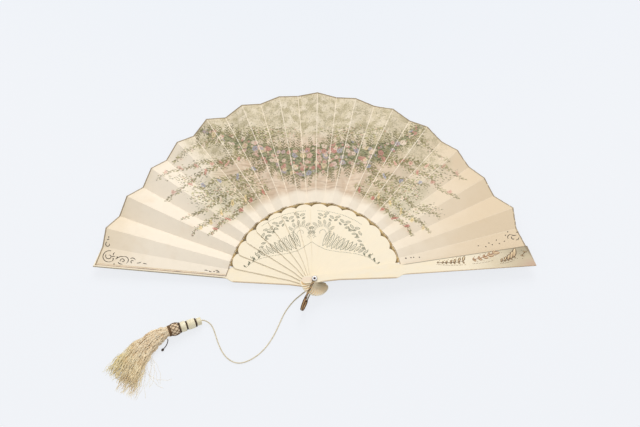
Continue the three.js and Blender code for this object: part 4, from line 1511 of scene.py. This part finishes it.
# Sprays carved on the front guard: the stem's two ends, its bow, and its leaflets' count, first and
# last length, and first and last lean above and below the stem
GUARD_SPRAYS = (
    ((151, 4.2), (184, 2.2), -1.2, 7, (1.6, 7.6), (40, 66), (1.2, 3.6), (-50, -60)),
    ((195, 2.6), (222, 8.6), -1.0, 5, (3.2, 5.6), (46, 30), (4.4, 9.4), (-44, -12)),
    ((229, -3.0), (247, 0.6), -1.2, 5, (4.6, 12.6), (40, 62), (1.6, 2.8), (-50, -40)),
    ((257, 0.5), (262, 5.5), 0.6, 2, (2.4, 3.4), (80, 100), (1.8, 2.4), (-30, -20)),
)


class FAN_OT_carving(bpy.types.Operator):
    """Makes the carved leaf sprays on the front guard: domed leaflets, brown lines round them, and dots"""

    bl_idname = "fan.carving"
    bl_label = "Guard carving"

    def execute(self, context):
        s, c = context.scene.fan_sizes, context.scene.fan_colours
        ground = Ground(["front_guard_bone"])
        domes, outlines, dots = [], [], []
        for start, end, bow, count, up, up_lean, down, down_lean in GUARD_SPRAYS:
            stem = arc(start, end, bow, 30)
            outlines.append([on_guard(*point) for point in stem])
            heading = math.degrees(math.atan2(end[1] - start[1], end[0] - start[0]))
            for lengths, leans in ((up, up_lean), (down, down_lean)):
                for i in range(count):
                    share = i / max(1, count - 1)
                    foot = stem[round(share * 0.92 * 30) + 1]
                    long = lengths[0] + (lengths[1] - lengths[0]) * share
                    lean = math.radians(heading + leans[0] + (leans[1] - leans[0]) * share)
                    tip = (foot[0] + long * math.cos(lean), foot[1] + long * math.sin(lean))
                    wide = max(0.55, 0.19 * long)
                    outlines.append([on_guard(*p) for p in arc(foot, tip, wide)])
                    outlines.append([on_guard(*p) for p in arc(foot, tip, -wide)])
                    middle = on_guard((foot[0] + tip[0]) / 2, (foot[1] + tip[1]) / 2)
                    domes.append((middle, AZIMUTHS[LAST] + lean, long / 2, wide))
                    beyond = 1.7 / long
                    dots.append(on_guard(
                        tip[0] + (tip[0] - foot[0]) * beyond, tip[1] + (tip[1] - foot[1]) * beyond,
                    ))
            for i in range(int((end[0] - start[0]) / 1.9)):
                along = start[0] + 1.9 * i
                share = (along - start[0]) / (end[0] - start[0])
                foot_edge = stem[round(share * 30)][1] - (down[0] + (down[1] - down[0]) * share) * 0.8
                dots.append(on_guard(along, foot_edge - 1.6))
        bone = paint_finish("carved_leaflets", tint(232, 208, 164), tint(212, 178, 138), 260, 0.45)
        brown = paint_finish("carved_lines", c.carving, tint(92, 68, 44), 300, 0.6)
        rosy = paint_finish("carved_rosy_lines", tint(164, 108, 76), tint(134, 92, 62), 300, 0.6)
        places = []
        for (x, y), turn, long, wide in domes:
            hit = ground.under(x, y)
            if hit is not None:
                shape = Matrix.Diagonal((long * 0.86 * MM, wide * 0.6 * MM, s.relief, 1))
                places.append(FAN @ Matrix.Translation(hit[1]) @ Matrix.Rotation(turn, 4, "Z") @ shape)
        model = fresh(bpy.ops.mesh.primitive_uv_sphere_add, segments=14, ring_count=8, radius=1)
        leaflets = repeated("carved_leaflets", model, places)
        dress(leaflets, "front_guard_arm", "front_guard", bone)
        second = [line for line in outlines if 190 < math.hypot(*line[0]) < 228]
        first = [line for line in outlines if line not in second]
        for name, lines, finish in (("carved_lines", first, brown), ("carved_rosy_lines", second, rosy)):
            for piece in lay_strokes(name, ground, lines, 0.00046, 0.0001, 0).values():
                dress(piece, "front_guard_arm", "front_guard", finish)
        for piece in lay_dots("carved_dots", ground, dots, 0.00042, 0.0001).values():
            dress(piece, "front_guard_arm", "front_guard", brown)
        return {"FINISHED"}


def corner_strokes():
    """Painted scrolls at the leaf's two ends and along its last folds, as brush strokes in millimetres."""
    big, small = (-252.6, 34.4), (-235.6, 28.6)
    strokes = [
        spiral(*big, 7.4, 7.6, 75, 305, 26), spiral(*big, 4.6, 1.2, 150, 480, 20),
        spiral(*big, 7.6, 6.4, 305, 330, 6),
        arc((-247.6, 35.6), (-246.2, 39.6), 0.5), arc((-249.4, 33.4), (-245, 33.8), 0.6),
        arc((-244.4, 30.4), (-233.4, 34), 1.6), spiral(-233.4, 29.2, 5.0, 4.6, 90, -62, 16),
        spiral(*small, 3.2, 0.9, 200, -160, 18), arc((-241, 26.4), (-235.5, 24.2), -0.9),
        spiral(-223.5, 28.4, 4.2, 3.6, 130, 20, 10), spiral(-223.4, 27.6, 2.2, 1.2, 250, 20, 10),
        arc((-218, 25.6), (-212.6, 27.4), -0.6), arc((-210.4, 25.2), (-205.6, 24.2), 0.3),
        spiral(-254.9, 49.8, 3.4, 1.5, 120, 395, 20), arc((-256.2, 55), (-253.4, 56), 0.4),
        arc((-134.6, 17.2), (-130.6, 16.4), 0.4), arc((-129.4, 16.4), (-126, 15.4), -0.4),
        spiral(-119.4, 15.6, 1.9, 0.8, 150, -150, 14), arc((-123.8, 15.6), (-121.8, 15.2), 0.2),
        spiral(243.6, 59.6, 4.4, 3.2, 215, 75, 16), arc((244.6, 62.6), (250.6, 62.4), -0.8),
        spiral(246.4, 58.2, 2.6, 1.2, 130, 330, 12), arc((249.6, 55.4), (253.4, 59.4), -1.2),
        spiral(247.6, 75.6, 1.7, 1.5, 70, 300, 12), arc((246.8, 78.4), (249.4, 78.6), 0.2),
    ]
    dots = [
        (-242.6, 33.3), (-245.8, 24.2), (-254.4, 58.6), (-247.4, 31.2), (-117, 15), (109.3, 37.6),
        (109.2, 33.8), (111.6, 29.4), (112.3, 29.2), (118.2, 30.2), (121.6, 30.6), (128.6, 30.8), (202.2, 47),
        (211.4, 45.9),
        (215.5, 51), (219.6, 48.7), (225.1, 55.2), (228.4, 50.3), (234.9, 53.6), (240.2, 66.8), (245.6, 81.6),
        (248.6, 71.6), (237, 62), (251.6, 66.2),
    ]
    return strokes, dots


class FAN_OT_scrolls(bpy.types.Operator):
    """Makes the painted scrolls, dots and edge lines on the leaf's end folds"""

    bl_idname = "fan.scrolls"
    bl_label = "Corner scrolls"

    def execute(self, context):
        s, c = context.scene.fan_sizes, context.scene.fan_colours
        bodies = {
            "fold_a00": "root", "fold_b00": "pleat_00_flap",
            "fold_a15": "front_guard_arm", "fold_b14": "pleat_14_flap",
        }
        ground = Ground(list(bodies))
        strokes, dots = corner_strokes()
        dark = paint_finish("scroll_paint", c.scroll, tint(50, 42, 32), 500, 0.6, 0.1)
        gold = paint_finish("edge_line_paint", tint(112, 78, 56), tint(196, 160, 122), 55, 0.55, 0.1)
        pale = paint_finish("edge_line_gold", tint(214, 188, 140), tint(186, 150, 104), 120, 0.55, 0.2)
        for under, piece in lay_strokes("scroll", ground, strokes, s.scroll_line, 0.00004).items():
            dress(piece, bodies[under], "leaf", dark)
        for under, piece in lay_dots("scroll_dots", ground, dots, 0.00082, 0.00005).items():
            dress(piece, bodies[under], "leaf", dark)
        (ix, iy, _), (ox, oy, _) = GUARD_FOLD_EDGE
        for name, gap, radius, finish in (
            ("edge_line", 0.9, 0.0005, gold), ("inner_edge_line", 2.5, 0.00034, pale),
        ):
            line = arc((ix - 1, iy + gap), (ox + 1, oy + gap), 0.0, 30)
            for under, piece in lay_strokes(name, ground, [line], radius, 0.00003).items():
                dress(piece, bodies[under], "leaf", finish)
        return {"FINISHED"}


# Rivet and bail


# In metres
WASHER_RADIUS = 0.00335


class FAN_OT_rivet(bpy.types.Operator):
    """Makes the domed pin and the two pearl washers with their metal rims"""

    bl_idname = "fan.rivet"
    bl_label = "Rivet"

    def execute(self, context):
        c = context.scene.fan_colours
        pearl = pearl_finish(c)
        dark = paint_finish("rivet_metal", c.rivet, tint(58, 44, 40), 2400, 0.42, 0.7)
        rim_metal = paint_finish("rim_metal", tint(168, 164, 160), tint(128, 122, 116), 1800, 0.4, 0.8)
        for name in ("rivet_washer_front", "rivet_washer_back"):
            low, high = fan_heights(name)
            reach = WASHER_RADIUS
            disc = turned(f"{name}_pearl", (
                (0, low), (reach - 0.0004, low), (reach - 0.0003, low + 0.0001),
                (reach - 0.0003, high - 0.00022), (reach - 0.0006, high - 0.00006), (reach - 0.0011, high),
                (0, high),
            ))
            seat(disc, FAN, "root", "washers", pearl, [name])
            rim = rings(f"{name}_rim", [(low + high) / 2], reach - 0.00034, 0.00034)
            seat(rim, FAN, "root", "washers", rim_metal)
        low, high = fan_heights("rivet_pin")
        pin = turned("rivet_pin_metal", (
            (0, low), (0.0009, low), (0.0013, low + 0.00015), (0.0014, low + 0.0005), (0.001, low + 0.0005),
            (0.001, high - 0.0005), (0.0014, high - 0.0005), (0.00135, high - 0.0003), (0.001, high - 0.0001),
            (0.0005, high - 0.00002), (0, high),
        ))
        seat(pin, FAN, "root", "pin", dark, ["rivet_pin"])
        return {"FINISHED"}


# The bail's middle line in its own plane: an upper leg, half a round and a lower leg, in metres. First
# the direction in which it lies at rest, and the distances between its points and its bindings' turns
BAIL_AZIMUTH = math.radians(247)
BAIL_STEP = 0.0004
BINDING_PITCH = 0.00042
BAIL_START = 0.00215
BAIL_BEND = 0.0281
BAIL_BEND_RADIUS = 0.0109
BAIL_TOP = 0.0212
BAIL_RISE = 0.0006
BAIL_ASIDE = Vector((0, 1, 0))


def bail_line(start, end):
    """The bail's middle line between two lengths along it, with the way outwards at each point."""
    straight = BAIL_BEND - BAIL_START
    bend = math.pi * BAIL_BEND_RADIUS
    count = max(2, round((end - start) / BAIL_STEP))
    line = []
    for i in range(count + 1):
        at = start + (end - start) * i / count
        if at < straight:
            rise = BAIL_RISE * math.sin(math.pi * at / straight) ** 0.5
            line.append((Vector((BAIL_START + at, 0, BAIL_TOP + rise)), UP))
        elif at < straight + bend:
            turn = math.pi / 2 - (at - straight) / BAIL_BEND_RADIUS
            out = Vector((math.cos(turn), 0, math.sin(turn)))
            middle = Vector((BAIL_BEND, 0, BAIL_TOP - BAIL_BEND_RADIUS))
            line.append((middle + out * BAIL_BEND_RADIUS, out))
        else:
            back = at - straight - bend
            line.append((Vector((BAIL_BEND - back, 0, BAIL_TOP - 2 * BAIL_BEND_RADIUS)), -UP))
    return line


def bail_binding(name, start, count, wide, thick):
    """Turns of wire wound round the bail from a length along it."""
    paths = []
    for n in range(count):
        along = start + n * BINDING_PITCH
        at, out = bail_line(along, along + 2 * BAIL_STEP)[0]
        path = []
        for i in range(24):
            turn = 2 * math.pi * i / 24
            path.append(at + BAIL_ASIDE * wide * math.cos(turn) + out * thick * math.sin(turn))
        paths.append(path)
    return loops(name, paths, 0.00026)


class FAN_OT_bail(bpy.types.Operator):
    """Makes the bail: a twisted upper leg, a bound fork with a strip in it, and an eye at each end"""

    bl_idname = "fan.bail"
    bl_label = "Bail"

    def execute(self, context):
        s, c = context.scene.fan_sizes, context.scene.fan_colours
        metal = paint_finish("bail_metal", c.bail, tint(172, 160, 122), 1500, 0.5, 0.3)
        warm = paint_finish("bail_warm_metal", c.bail_warm, tint(92, 62, 38), 1400, 0.5, 0.3)
        grey = paint_finish("bail_tip_metal", tint(128, 120, 110), tint(92, 84, 76), 1400, 0.45, 0.4)
        tan = paint_finish("bail_strip", c.ribbon, tint(184, 140, 92), 1100, 0.75)
        aside = BAIL_ASIDE
        straight = BAIL_BEND - BAIL_START
        whole = 2 * straight + math.pi * BAIL_BEND_RADIUS

        made = []
        for turn, finish in ((0, metal), (1 / 3, warm), (2 / 3, tan)):
            strand = []
            for i, (at, out) in enumerate(bail_line(0, straight - 0.0016)):
                phase = 2 * math.pi * (i * BAIL_STEP / 0.0072 + turn)
                strand.append(at + aside * math.cos(phase) * 0.00105 + out * math.sin(phase) * 0.00026)
            made.append((wires(f"bail_strand_{len(made)}", [strand], s.wire * 1.2, 1), finish))
        fork_start, fork_end = straight - 0.0014, whole - straight + 0.0058
        sides = []
        for side in (-1, 1):
            line = bail_line(fork_start, fork_end)
            path = []
            for i, (at, out) in enumerate(line):
                spread = min(1.0, i / 7, (len(line) - 1 - i) / 9) ** 0.5
                path.append(at + aside * side * (0.0004 + 0.00082 * spread))
            sides.append(path)
        made.append((wires("bail_fork", sides, s.wire * 1.25, 1), warm))
        middle = [at for at, out in bail_line(fork_start, fork_end)]
        for side in (-1, 0, 1):
            strip = [at + aside * side * 0.00042 for at in middle]
            made.append((wires(f"bail_fork_strip_{side + 1}", [strip], 0.0003, 1), tan))
        lower = [at for at, out in bail_line(whole - straight + 0.004, whole)]
        legs = [[place + aside * y for place in lower] for y in (-0.0003, 0.0003)]
        made.append((wires("bail_lower_leg", legs, 0.0004, 1), metal))
        made.append((bail_binding("bail_cross_binding", straight - 0.0026, 7, 0.0015, 0.00034), warm))
        made.append((bail_binding("bail_lower_binding", whole - straight + 0.0042, 6, 0.00095, 0.0003), warm))
        tip = straight + BAIL_BEND_RADIUS * math.radians(96)
        made.append((bail_binding("bail_tip_binding", tip, 11, 0.00135, 0.0004), grey))
        for name, height in (
            ("bail_upper_eye", BAIL_TOP), ("bail_lower_eye", BAIL_TOP - 2 * BAIL_BEND_RADIUS),
        ):
            made.append((rings(name, [height - 0.00022, height + 0.00022], 0.00262, 0.00028), metal))
        place = FAN @ Matrix.Rotation(BAIL_AZIMUTH, 4, "Z")
        for i, (piece, finish) in enumerate(made):
            seat(piece, place, "bail_loop", "bail", finish, ["bail"] if i == 0 else ())
        return {"FINISHED"}


# Tassel


class FAN_OT_beads(bpy.types.Operator):
    """Makes the three turned beads and the wound bands between them"""

    bl_idname = "fan.beads"
    bl_label = "Beads and bands"

    def execute(self, context):
        c = context.scene.fan_colours
        cream = bead_finish(c)
        dark = paint_finish("band_thread", c.dark_thread, tint(58, 42, 32), 1600, 0.8, 0, 0.0001)
        for name in ("top", "middle", "lower"):
            node = f"tassel_bead_{name}"
            low, high, reach = along_tassel(node)
            rim = 0.0011
            turns = [math.pi / 2 * i / 4 for i in range(5)]
            profile = [(0, low)]
            profile += [(reach - rim + rim * math.sin(t), low + rim - rim * math.cos(t)) for t in turns]
            profile += [(reach - rim + rim * math.cos(t), high - rim + rim * math.sin(t)) for t in turns]
            profile.append((0, high))
            bead = turned(f"{node}_cream", profile, 56)
            seat(bead, tassel_frame(), "root", "beads", cream, [node])
        for name in ("upper", "lower"):
            node = f"tassel_band_{name}"
            low, high, reach = along_tassel(node)
            thick = (high - low) / 6.4
            heights = [low + thick + i * (high - low - 2 * thick) / 3 for i in range(4)]
            band = rings(f"{node}_windings", heights, reach - thick, thick, 0.00006)
            seat(band, tassel_frame(), "root", "dark_thread", dark, [node])
            core = turned(f"{node}_core", (
                (0, low), (reach - 1.6 * thick, low), (reach - 1.6 * thick, high), (0, high),
            ))
            seat(core, tassel_frame(), "root", "dark_thread", dark)
        return {"FINISHED"}


# Widths of the wound ring and band at the two ends of the netted head, in metres
HEAD_RING_WIDTH = 0.0019
FOOT_BAND_WIDTH = 0.0031


def head_radius(share):
    """Radius of the padded head under its net, from its bead end at 0 to its threads at 1."""
    return 0.0064 + 0.0011 * math.sin(math.pi * min(1, max(0, share))) ** 0.7


class FAN_OT_head(bpy.types.Operator):
    """Makes the padded head in its knotted net, with a wound ring at each end"""

    bl_idname = "fan.head"
    bl_label = "Netted head"

    def execute(self, context):
        s, c = context.scene.fan_sizes, context.scene.fan_colours
        low, high, _ = along_tassel("tassel_netted_head")
        net_low, net_high = low + HEAD_RING_WIDTH, high - FOOT_BAND_WIDTH
        place = tassel_frame()
        pad = paint_finish("head_silk", c.net_ground, tint(228, 196, 158), 700, 0.8, 0, 0.0001)
        gold = paint_finish("net_cord", c.net, tint(98, 70, 42), 900, 0.7, 0.1, 0.0001)
        dark = paint_finish("head_ring_thread", c.dark_thread, tint(60, 44, 34), 1500, 0.8, 0, 0.0001)
        profile = [(0, low), (0.0056, low), (0.006, low + 0.0003)]
        for i in range(15):
            share = i / 14
            profile.append((head_radius(share) - 0.0002, net_low + (net_high - net_low) * share))
        profile += [(0.0062, high - 0.0002), (0.0058, high), (0, high)]
        seat(turned("tassel_head_pad", profile), place, "root", "net", pad, ["tassel_netted_head"])
        strands = []
        meshes, rows = 9, 3
        for way in (-1, 1):
            for n in range(meshes):
                strand = []
                for i in range(17):
                    share = i / 16
                    turn = 2 * math.pi * (n + way * share * rows / 2) / meshes
                    radius = head_radius(share) + 0.00008 + 0.00012 * (i % 2)
                    height = net_low + (net_high - net_low) * share
                    strand.append((radius * math.cos(turn), radius * math.sin(turn), height))
                strands.append(strand)
        seat(wires("tassel_head_net", strands, s.net_strand, 1), place, "root", "net", gold)
        knots = []
        for row in range(1, rows):
            share = row / rows
            for n in range(meshes):
                turn = 2 * math.pi * (n + row / 2) / meshes
                radius = head_radius(share) + 0.0002
                height = net_low + (net_high - net_low) * share
                knots.append(Matrix.Translation((radius * math.cos(turn), radius * math.sin(turn), height)))
        knot = fresh(bpy.ops.mesh.primitive_ico_sphere_add, subdivisions=2, radius=0.0006)
        seat(repeated("tassel_head_knots", knot, knots), place, "root", "net", gold)
        heights = [low + 0.0003 + 0.00045 * i for i in range(4)]
        ring = rings("tassel_head_ring", heights, 0.0064, 0.0003, 0.00005)
        seat(ring, place, "root", "net", dark)
        heights = [net_high + 0.0003 + 0.00042 * i for i in range(7)]
        foot = rings("tassel_head_foot_band", heights, 0.00658, 0.0003, 0.00005)
        seat(foot, place, "root", "net", gold)
        return {"FINISHED"}


# Turn between two locks, which spreads them evenly over the skirt's section
GOLDEN_ANGLE = 2.39996


def thread_stations():
    """Middle, sideways and upward half axes of the threads' lay, from their root to their tips."""
    root = along_tassel("tassel_skirt")[0]
    frame_at = tassel_frame()
    axis = tassel_axis()
    side = UP.cross(axis).normalized()
    stations = []
    for ahead in (0.0, 0.003):
        middle = frame_at @ Vector((0, 0, root + ahead))
        stations.append((middle, side * 0.0064, axis.cross(side) * 0.0064))
    for (x, y), wide, high, facing in THREAD_LAY:
        turn = math.radians(facing)
        middle = FOOT + Vector((x, y, high + 0.06)) * MM
        across = Vector((-math.sin(turn), math.cos(turn), 0))
        stations.append((middle, across * wide * MM, UP * high * MM))
    return stations


def along_stations(stations, t, a, b):
    """The place of a thread with the lay's coordinates a and b, at the share t of its length."""
    at = min(t, 1.0) * (len(stations) - 1)
    i = min(int(at), len(stations) - 2)
    share = at - i + max(0.0, t - 1.0) * (len(stations) - 1)
    first, second = stations[i], stations[i + 1]
    before = stations[max(i - 1, 0)]
    after = stations[min(i + 2, len(stations) - 1)]

    def blend(n):
        """The middle or one half axis: a smooth curve between stations, and straight on past the last."""
        p0, p1, p2, p3 = before[n], first[n], second[n], after[n]
        u = share
        if u > 1:
            return p2 + (p2 - p1) * (u - 1)
        return 0.5 * (
            2 * p1 + (p2 - p0) * u + (2 * p0 - 5 * p1 + 4 * p2 - p3) * u * u
            + (3 * p1 - p0 - 3 * p2 + p3) * u * u * u
        )

    return blend(0) + blend(1) * a + blend(2) * b


def loose(stations, t, a, b, swing, waves, phase):
    """A point of a wavy thread at the share t of the lay, in its coordinates a and b."""
    place = along_stations(stations, t, a, b)
    ahead = along_stations(stations, t + 0.02, a, b) - place
    side = ahead.cross(UP).normalized()
    turn = waves * 2 * math.pi * t + phase
    place = place + side * (math.sin(turn) + 0.35 * math.sin(2.3 * turn + phase)) * swing
    place.z += math.cos(turn * 0.9) * swing * 0.5
    return place


class FAN_OT_threads(bpy.types.Operator):
    """Makes the tassel's threads: wavy yarns in locks that spread from the head, and stray hairs"""

    bl_idname = "fan.threads"
    bl_label = "Threads"

    def execute(self, context):
        s, c = context.scene.fan_sizes, context.scene.fan_colours
        draw = random.Random(s.seed)
        stations = thread_stations()
        locks = []
        for n in range(s.locks):
            reach = math.sqrt((n + 0.5) / s.locks) * 0.86
            turn = n * GOLDEN_ANGLE
            a = reach * math.cos(turn)
            end = draw.uniform(0.88, 1.03) - (0.1 if a < -0.2 and draw.random() < 0.3 else 0)
            locks.append((a, reach * math.sin(turn), draw.uniform(0, 6.28), end, draw.uniform(4.5, 7)))
        paths, shares = [], []
        for n in range(s.yarns):
            a0, b0, phase, reach, waves = locks[n % s.locks]
            spread = draw.uniform(0.02, 0.2)
            turn = draw.uniform(0, 6.28)
            end = reach + draw.uniform(-0.07, 0.05)
            own = draw.uniform(-0.9, 0.9)
            swing = draw.uniform(0.0005, 0.0011)
            path, thick = [], []
            count = 54
            for i in range(count + 1):
                t = end * i / count
                gather = 1 - 0.5 * math.sin(math.pi * min(1, t * 1.1)) + 0.9 * max(0, t - 0.7)
                curl = turn + 3.2 * t
                a, b = a0 + spread * gather * math.cos(curl), b0 + spread * gather * math.sin(curl)
                norm = math.hypot(a, b)
                if norm > 0.95:
                    a, b = a * 0.95 / norm, b * 0.95 / norm
                place = loose(stations, t, a, b, swing * min(1, t * 3.5), waves, phase + own)
                place.z = max(place.z, s.yarn * 0.9)
                path.append(place)
                thick.append(min(1.0, 0.42 + 0.58 * (1 - i / count) * 3.5))
            paths.append(path)
            shares.append(thick)
        yarns = wires("tassel_threads", paths, s.yarn, 1, shares)
        # The third colour is the painted shade between the yarns
        yarn = thread_finish("tassel_yarn", c, tint(176, 140, 96))
        dress(yarns, "root", "skirt", yarn, replaces=["tassel_skirt"])

        hairs, thin = [], []
        for n in range(s.hairs):
            wisp = n % 2 == 0
            a = draw.uniform(0, 0.95) if wisp else draw.uniform(-0.9, 1.04)
            b = draw.uniform(-0.7, 0.9) * math.sqrt(max(0, 1.1 - a * a))
            start = draw.uniform(0.5, 0.8) if wisp else draw.uniform(0.02, 0.6)
            end = draw.uniform(1.04, 1.2) if wisp else draw.uniform(0.8, 1.08)
            waves, phase, swing = draw.uniform(3, 8), draw.uniform(0, 6.28), draw.uniform(0.0006, 0.0016)
            hair = []
            for i in range(25):
                t = start + (end - start) * i / 24
                place = loose(stations, t, a, b, swing * min(1, 3 * i / 24), waves, phase)
                place.z = max(place.z, 0.0003)
                hair.append(place)
            hairs.append(hair)
            thin.append([1.0] * 24 + [0.4])
        # A few long hairs have come loose at the side that faces the cord, and curl on the table
        for n in range(s.strays):
            place = along_stations(stations, draw.uniform(0.45, 0.78), 0.93, -0.3)
            heading = draw.uniform(-1.75, -0.75)
            bend = draw.uniform(-0.05, 0.06)
            hair = []
            for i in range(34):
                hair.append(Vector((place.x, place.y, max(0.0003, place.z * (1 - i / 8)))))
                heading += bend + 0.09 * math.sin(i * 0.5 + n)
                place = place + Vector((math.cos(heading), math.sin(heading), 0)) * 0.0011
            hairs.append(hair)
            thin.append([0.9] * 33 + [0.4])
        stray = wires("tassel_stray_hairs", hairs, s.hair, 0, thin)
        # The third colour is the painted shade between the hairs
        dress(stray, "root", "skirt", thread_finish("tassel_hair", c, tint(226, 206, 172)))
        return {"FINISHED"}


class FAN_OT_drop(bpy.types.Operator):
    """Makes the short dark string with a knob that hangs at the tassel's head"""

    bl_idname = "fan.drop"
    bl_label = "Drop string"

    def execute(self, context):
        c = context.scene.fan_colours
        dark = paint_finish("drop_thread", tint(96, 84, 76), tint(58, 46, 42), 1500, 0.85, 0, 0.0001)
        line = catmull([FOOT + Vector(point) * MM for point in DROP_ROUTE], DROP_STEP)
        strands = twisted(line, DROP_STEP, 0.003, (0, 0.5), 0.0003)
        string = wires("tassel_drop_string_twist", strands, 0.00038, 1)
        dress(string, "root", "dark_thread", dark, replaces=["tassel_drop_string"])
        ahead = (line[-1] - line[-4]).normalized()
        turned_to = Matrix.Translation(line[-1]) @ UP.rotation_difference(ahead).to_matrix().to_4x4()
        turns = [math.pi * i / 12 for i in range(13)]
        profile = [(0.0016 * math.sin(turn), 0.0018 - 0.002 * math.cos(turn)) for turn in turns]
        knob = turned("tassel_drop_knob", profile, 32)
        seat(knob, turned_to, "root", "dark_thread", dark)
        return {"FINISHED"}


# Stage


class FAN_OT_stage(bpy.types.Operator):
    """Makes the pale floor, the soft lamps and the even surroundings"""

    bl_idname = "fan.stage"
    bl_label = "Floor and light"

    def execute(self, context):
        c = context.scene.fan_colours
        floor = named(fresh(bpy.ops.mesh.primitive_plane_add, size=8), "floor")
        floor.data.materials.append(floor_finish(c))
        for name, place, aim, across, watts in (
            ("back_lamp", (0.15, 2.3, 2.3), (0, 0, 0), 1.9, 60),
            ("side_lamp", (-2.2, -0.6, 2.6), (0, 0, 0), 2.0, 10),
        ):
            data = bpy.data.lights.new(name, "AREA")
            data.shape = "SQUARE"
            data.size = across
            data.energy = watts
            lamp = bpy.data.objects.new(name, data)
            context.scene.collection.objects.link(lamp)
            lamp.location = place
            lamp.rotation_mode = "QUATERNION"
            lamp.rotation_quaternion = (Vector(aim) - Vector(place)).to_track_quat("-Z", "Y")
        world = bpy.data.worlds.new("even_room")
        world.use_nodes = True
        backdrop = world.node_tree.nodes["Background"]
        backdrop.inputs["Color"].default_value = (0.98, 0.99, 1, 1)
        backdrop.inputs["Strength"].default_value = 0.6
        context.scene.world = world
        context.scene.view_settings.view_transform = "Standard"
        return {"FINISHED"}


# Sidebar and running


class FAN_PT_sidebar(bpy.types.Panel):
    """Lists what the fan is built from"""

    bl_idname = "FAN_PT_sidebar"
    bl_label = "Folding fan"
    bl_space_type = "VIEW_3D"
    bl_region_type = "UI"
    bl_category = "Fan"

    def draw(self, context):
        for maker in MAKERS:
            self.layout.operator(maker.bl_idname)
        for group in (context.scene.fan_sizes, context.scene.fan_colours):
            box = self.layout.box()
            for name in group.__annotations__:
                box.prop(group, name)


MAKERS = (
    FAN_OT_camera, FAN_OT_cord, FAN_OT_blades, FAN_OT_leaf, FAN_OT_trim, FAN_OT_pricks,
    FAN_OT_carving, FAN_OT_scrolls, FAN_OT_rivet, FAN_OT_bail, FAN_OT_beads,
    FAN_OT_head, FAN_OT_threads, FAN_OT_drop, FAN_OT_stage,
)
CLASSES = (FanSizes, FanColours, *MAKERS, FAN_PT_sidebar)


def register():
    for cls in CLASSES:
        bpy.utils.register_class(cls)
    bpy.types.Scene.fan_sizes = bpy.props.PointerProperty(type=FanSizes)
    bpy.types.Scene.fan_colours = bpy.props.PointerProperty(type=FanColours)


def unregister():
    del bpy.types.Scene.fan_colours
    del bpy.types.Scene.fan_sizes
    for cls in reversed(CLASSES):
        bpy.utils.unregister_class(cls)


def main():
    register()
    for maker in MAKERS:
        section, name = maker.bl_idname.split(".")
        getattr(getattr(bpy.ops, section), name)()


if __name__ == "__main__":
    main()
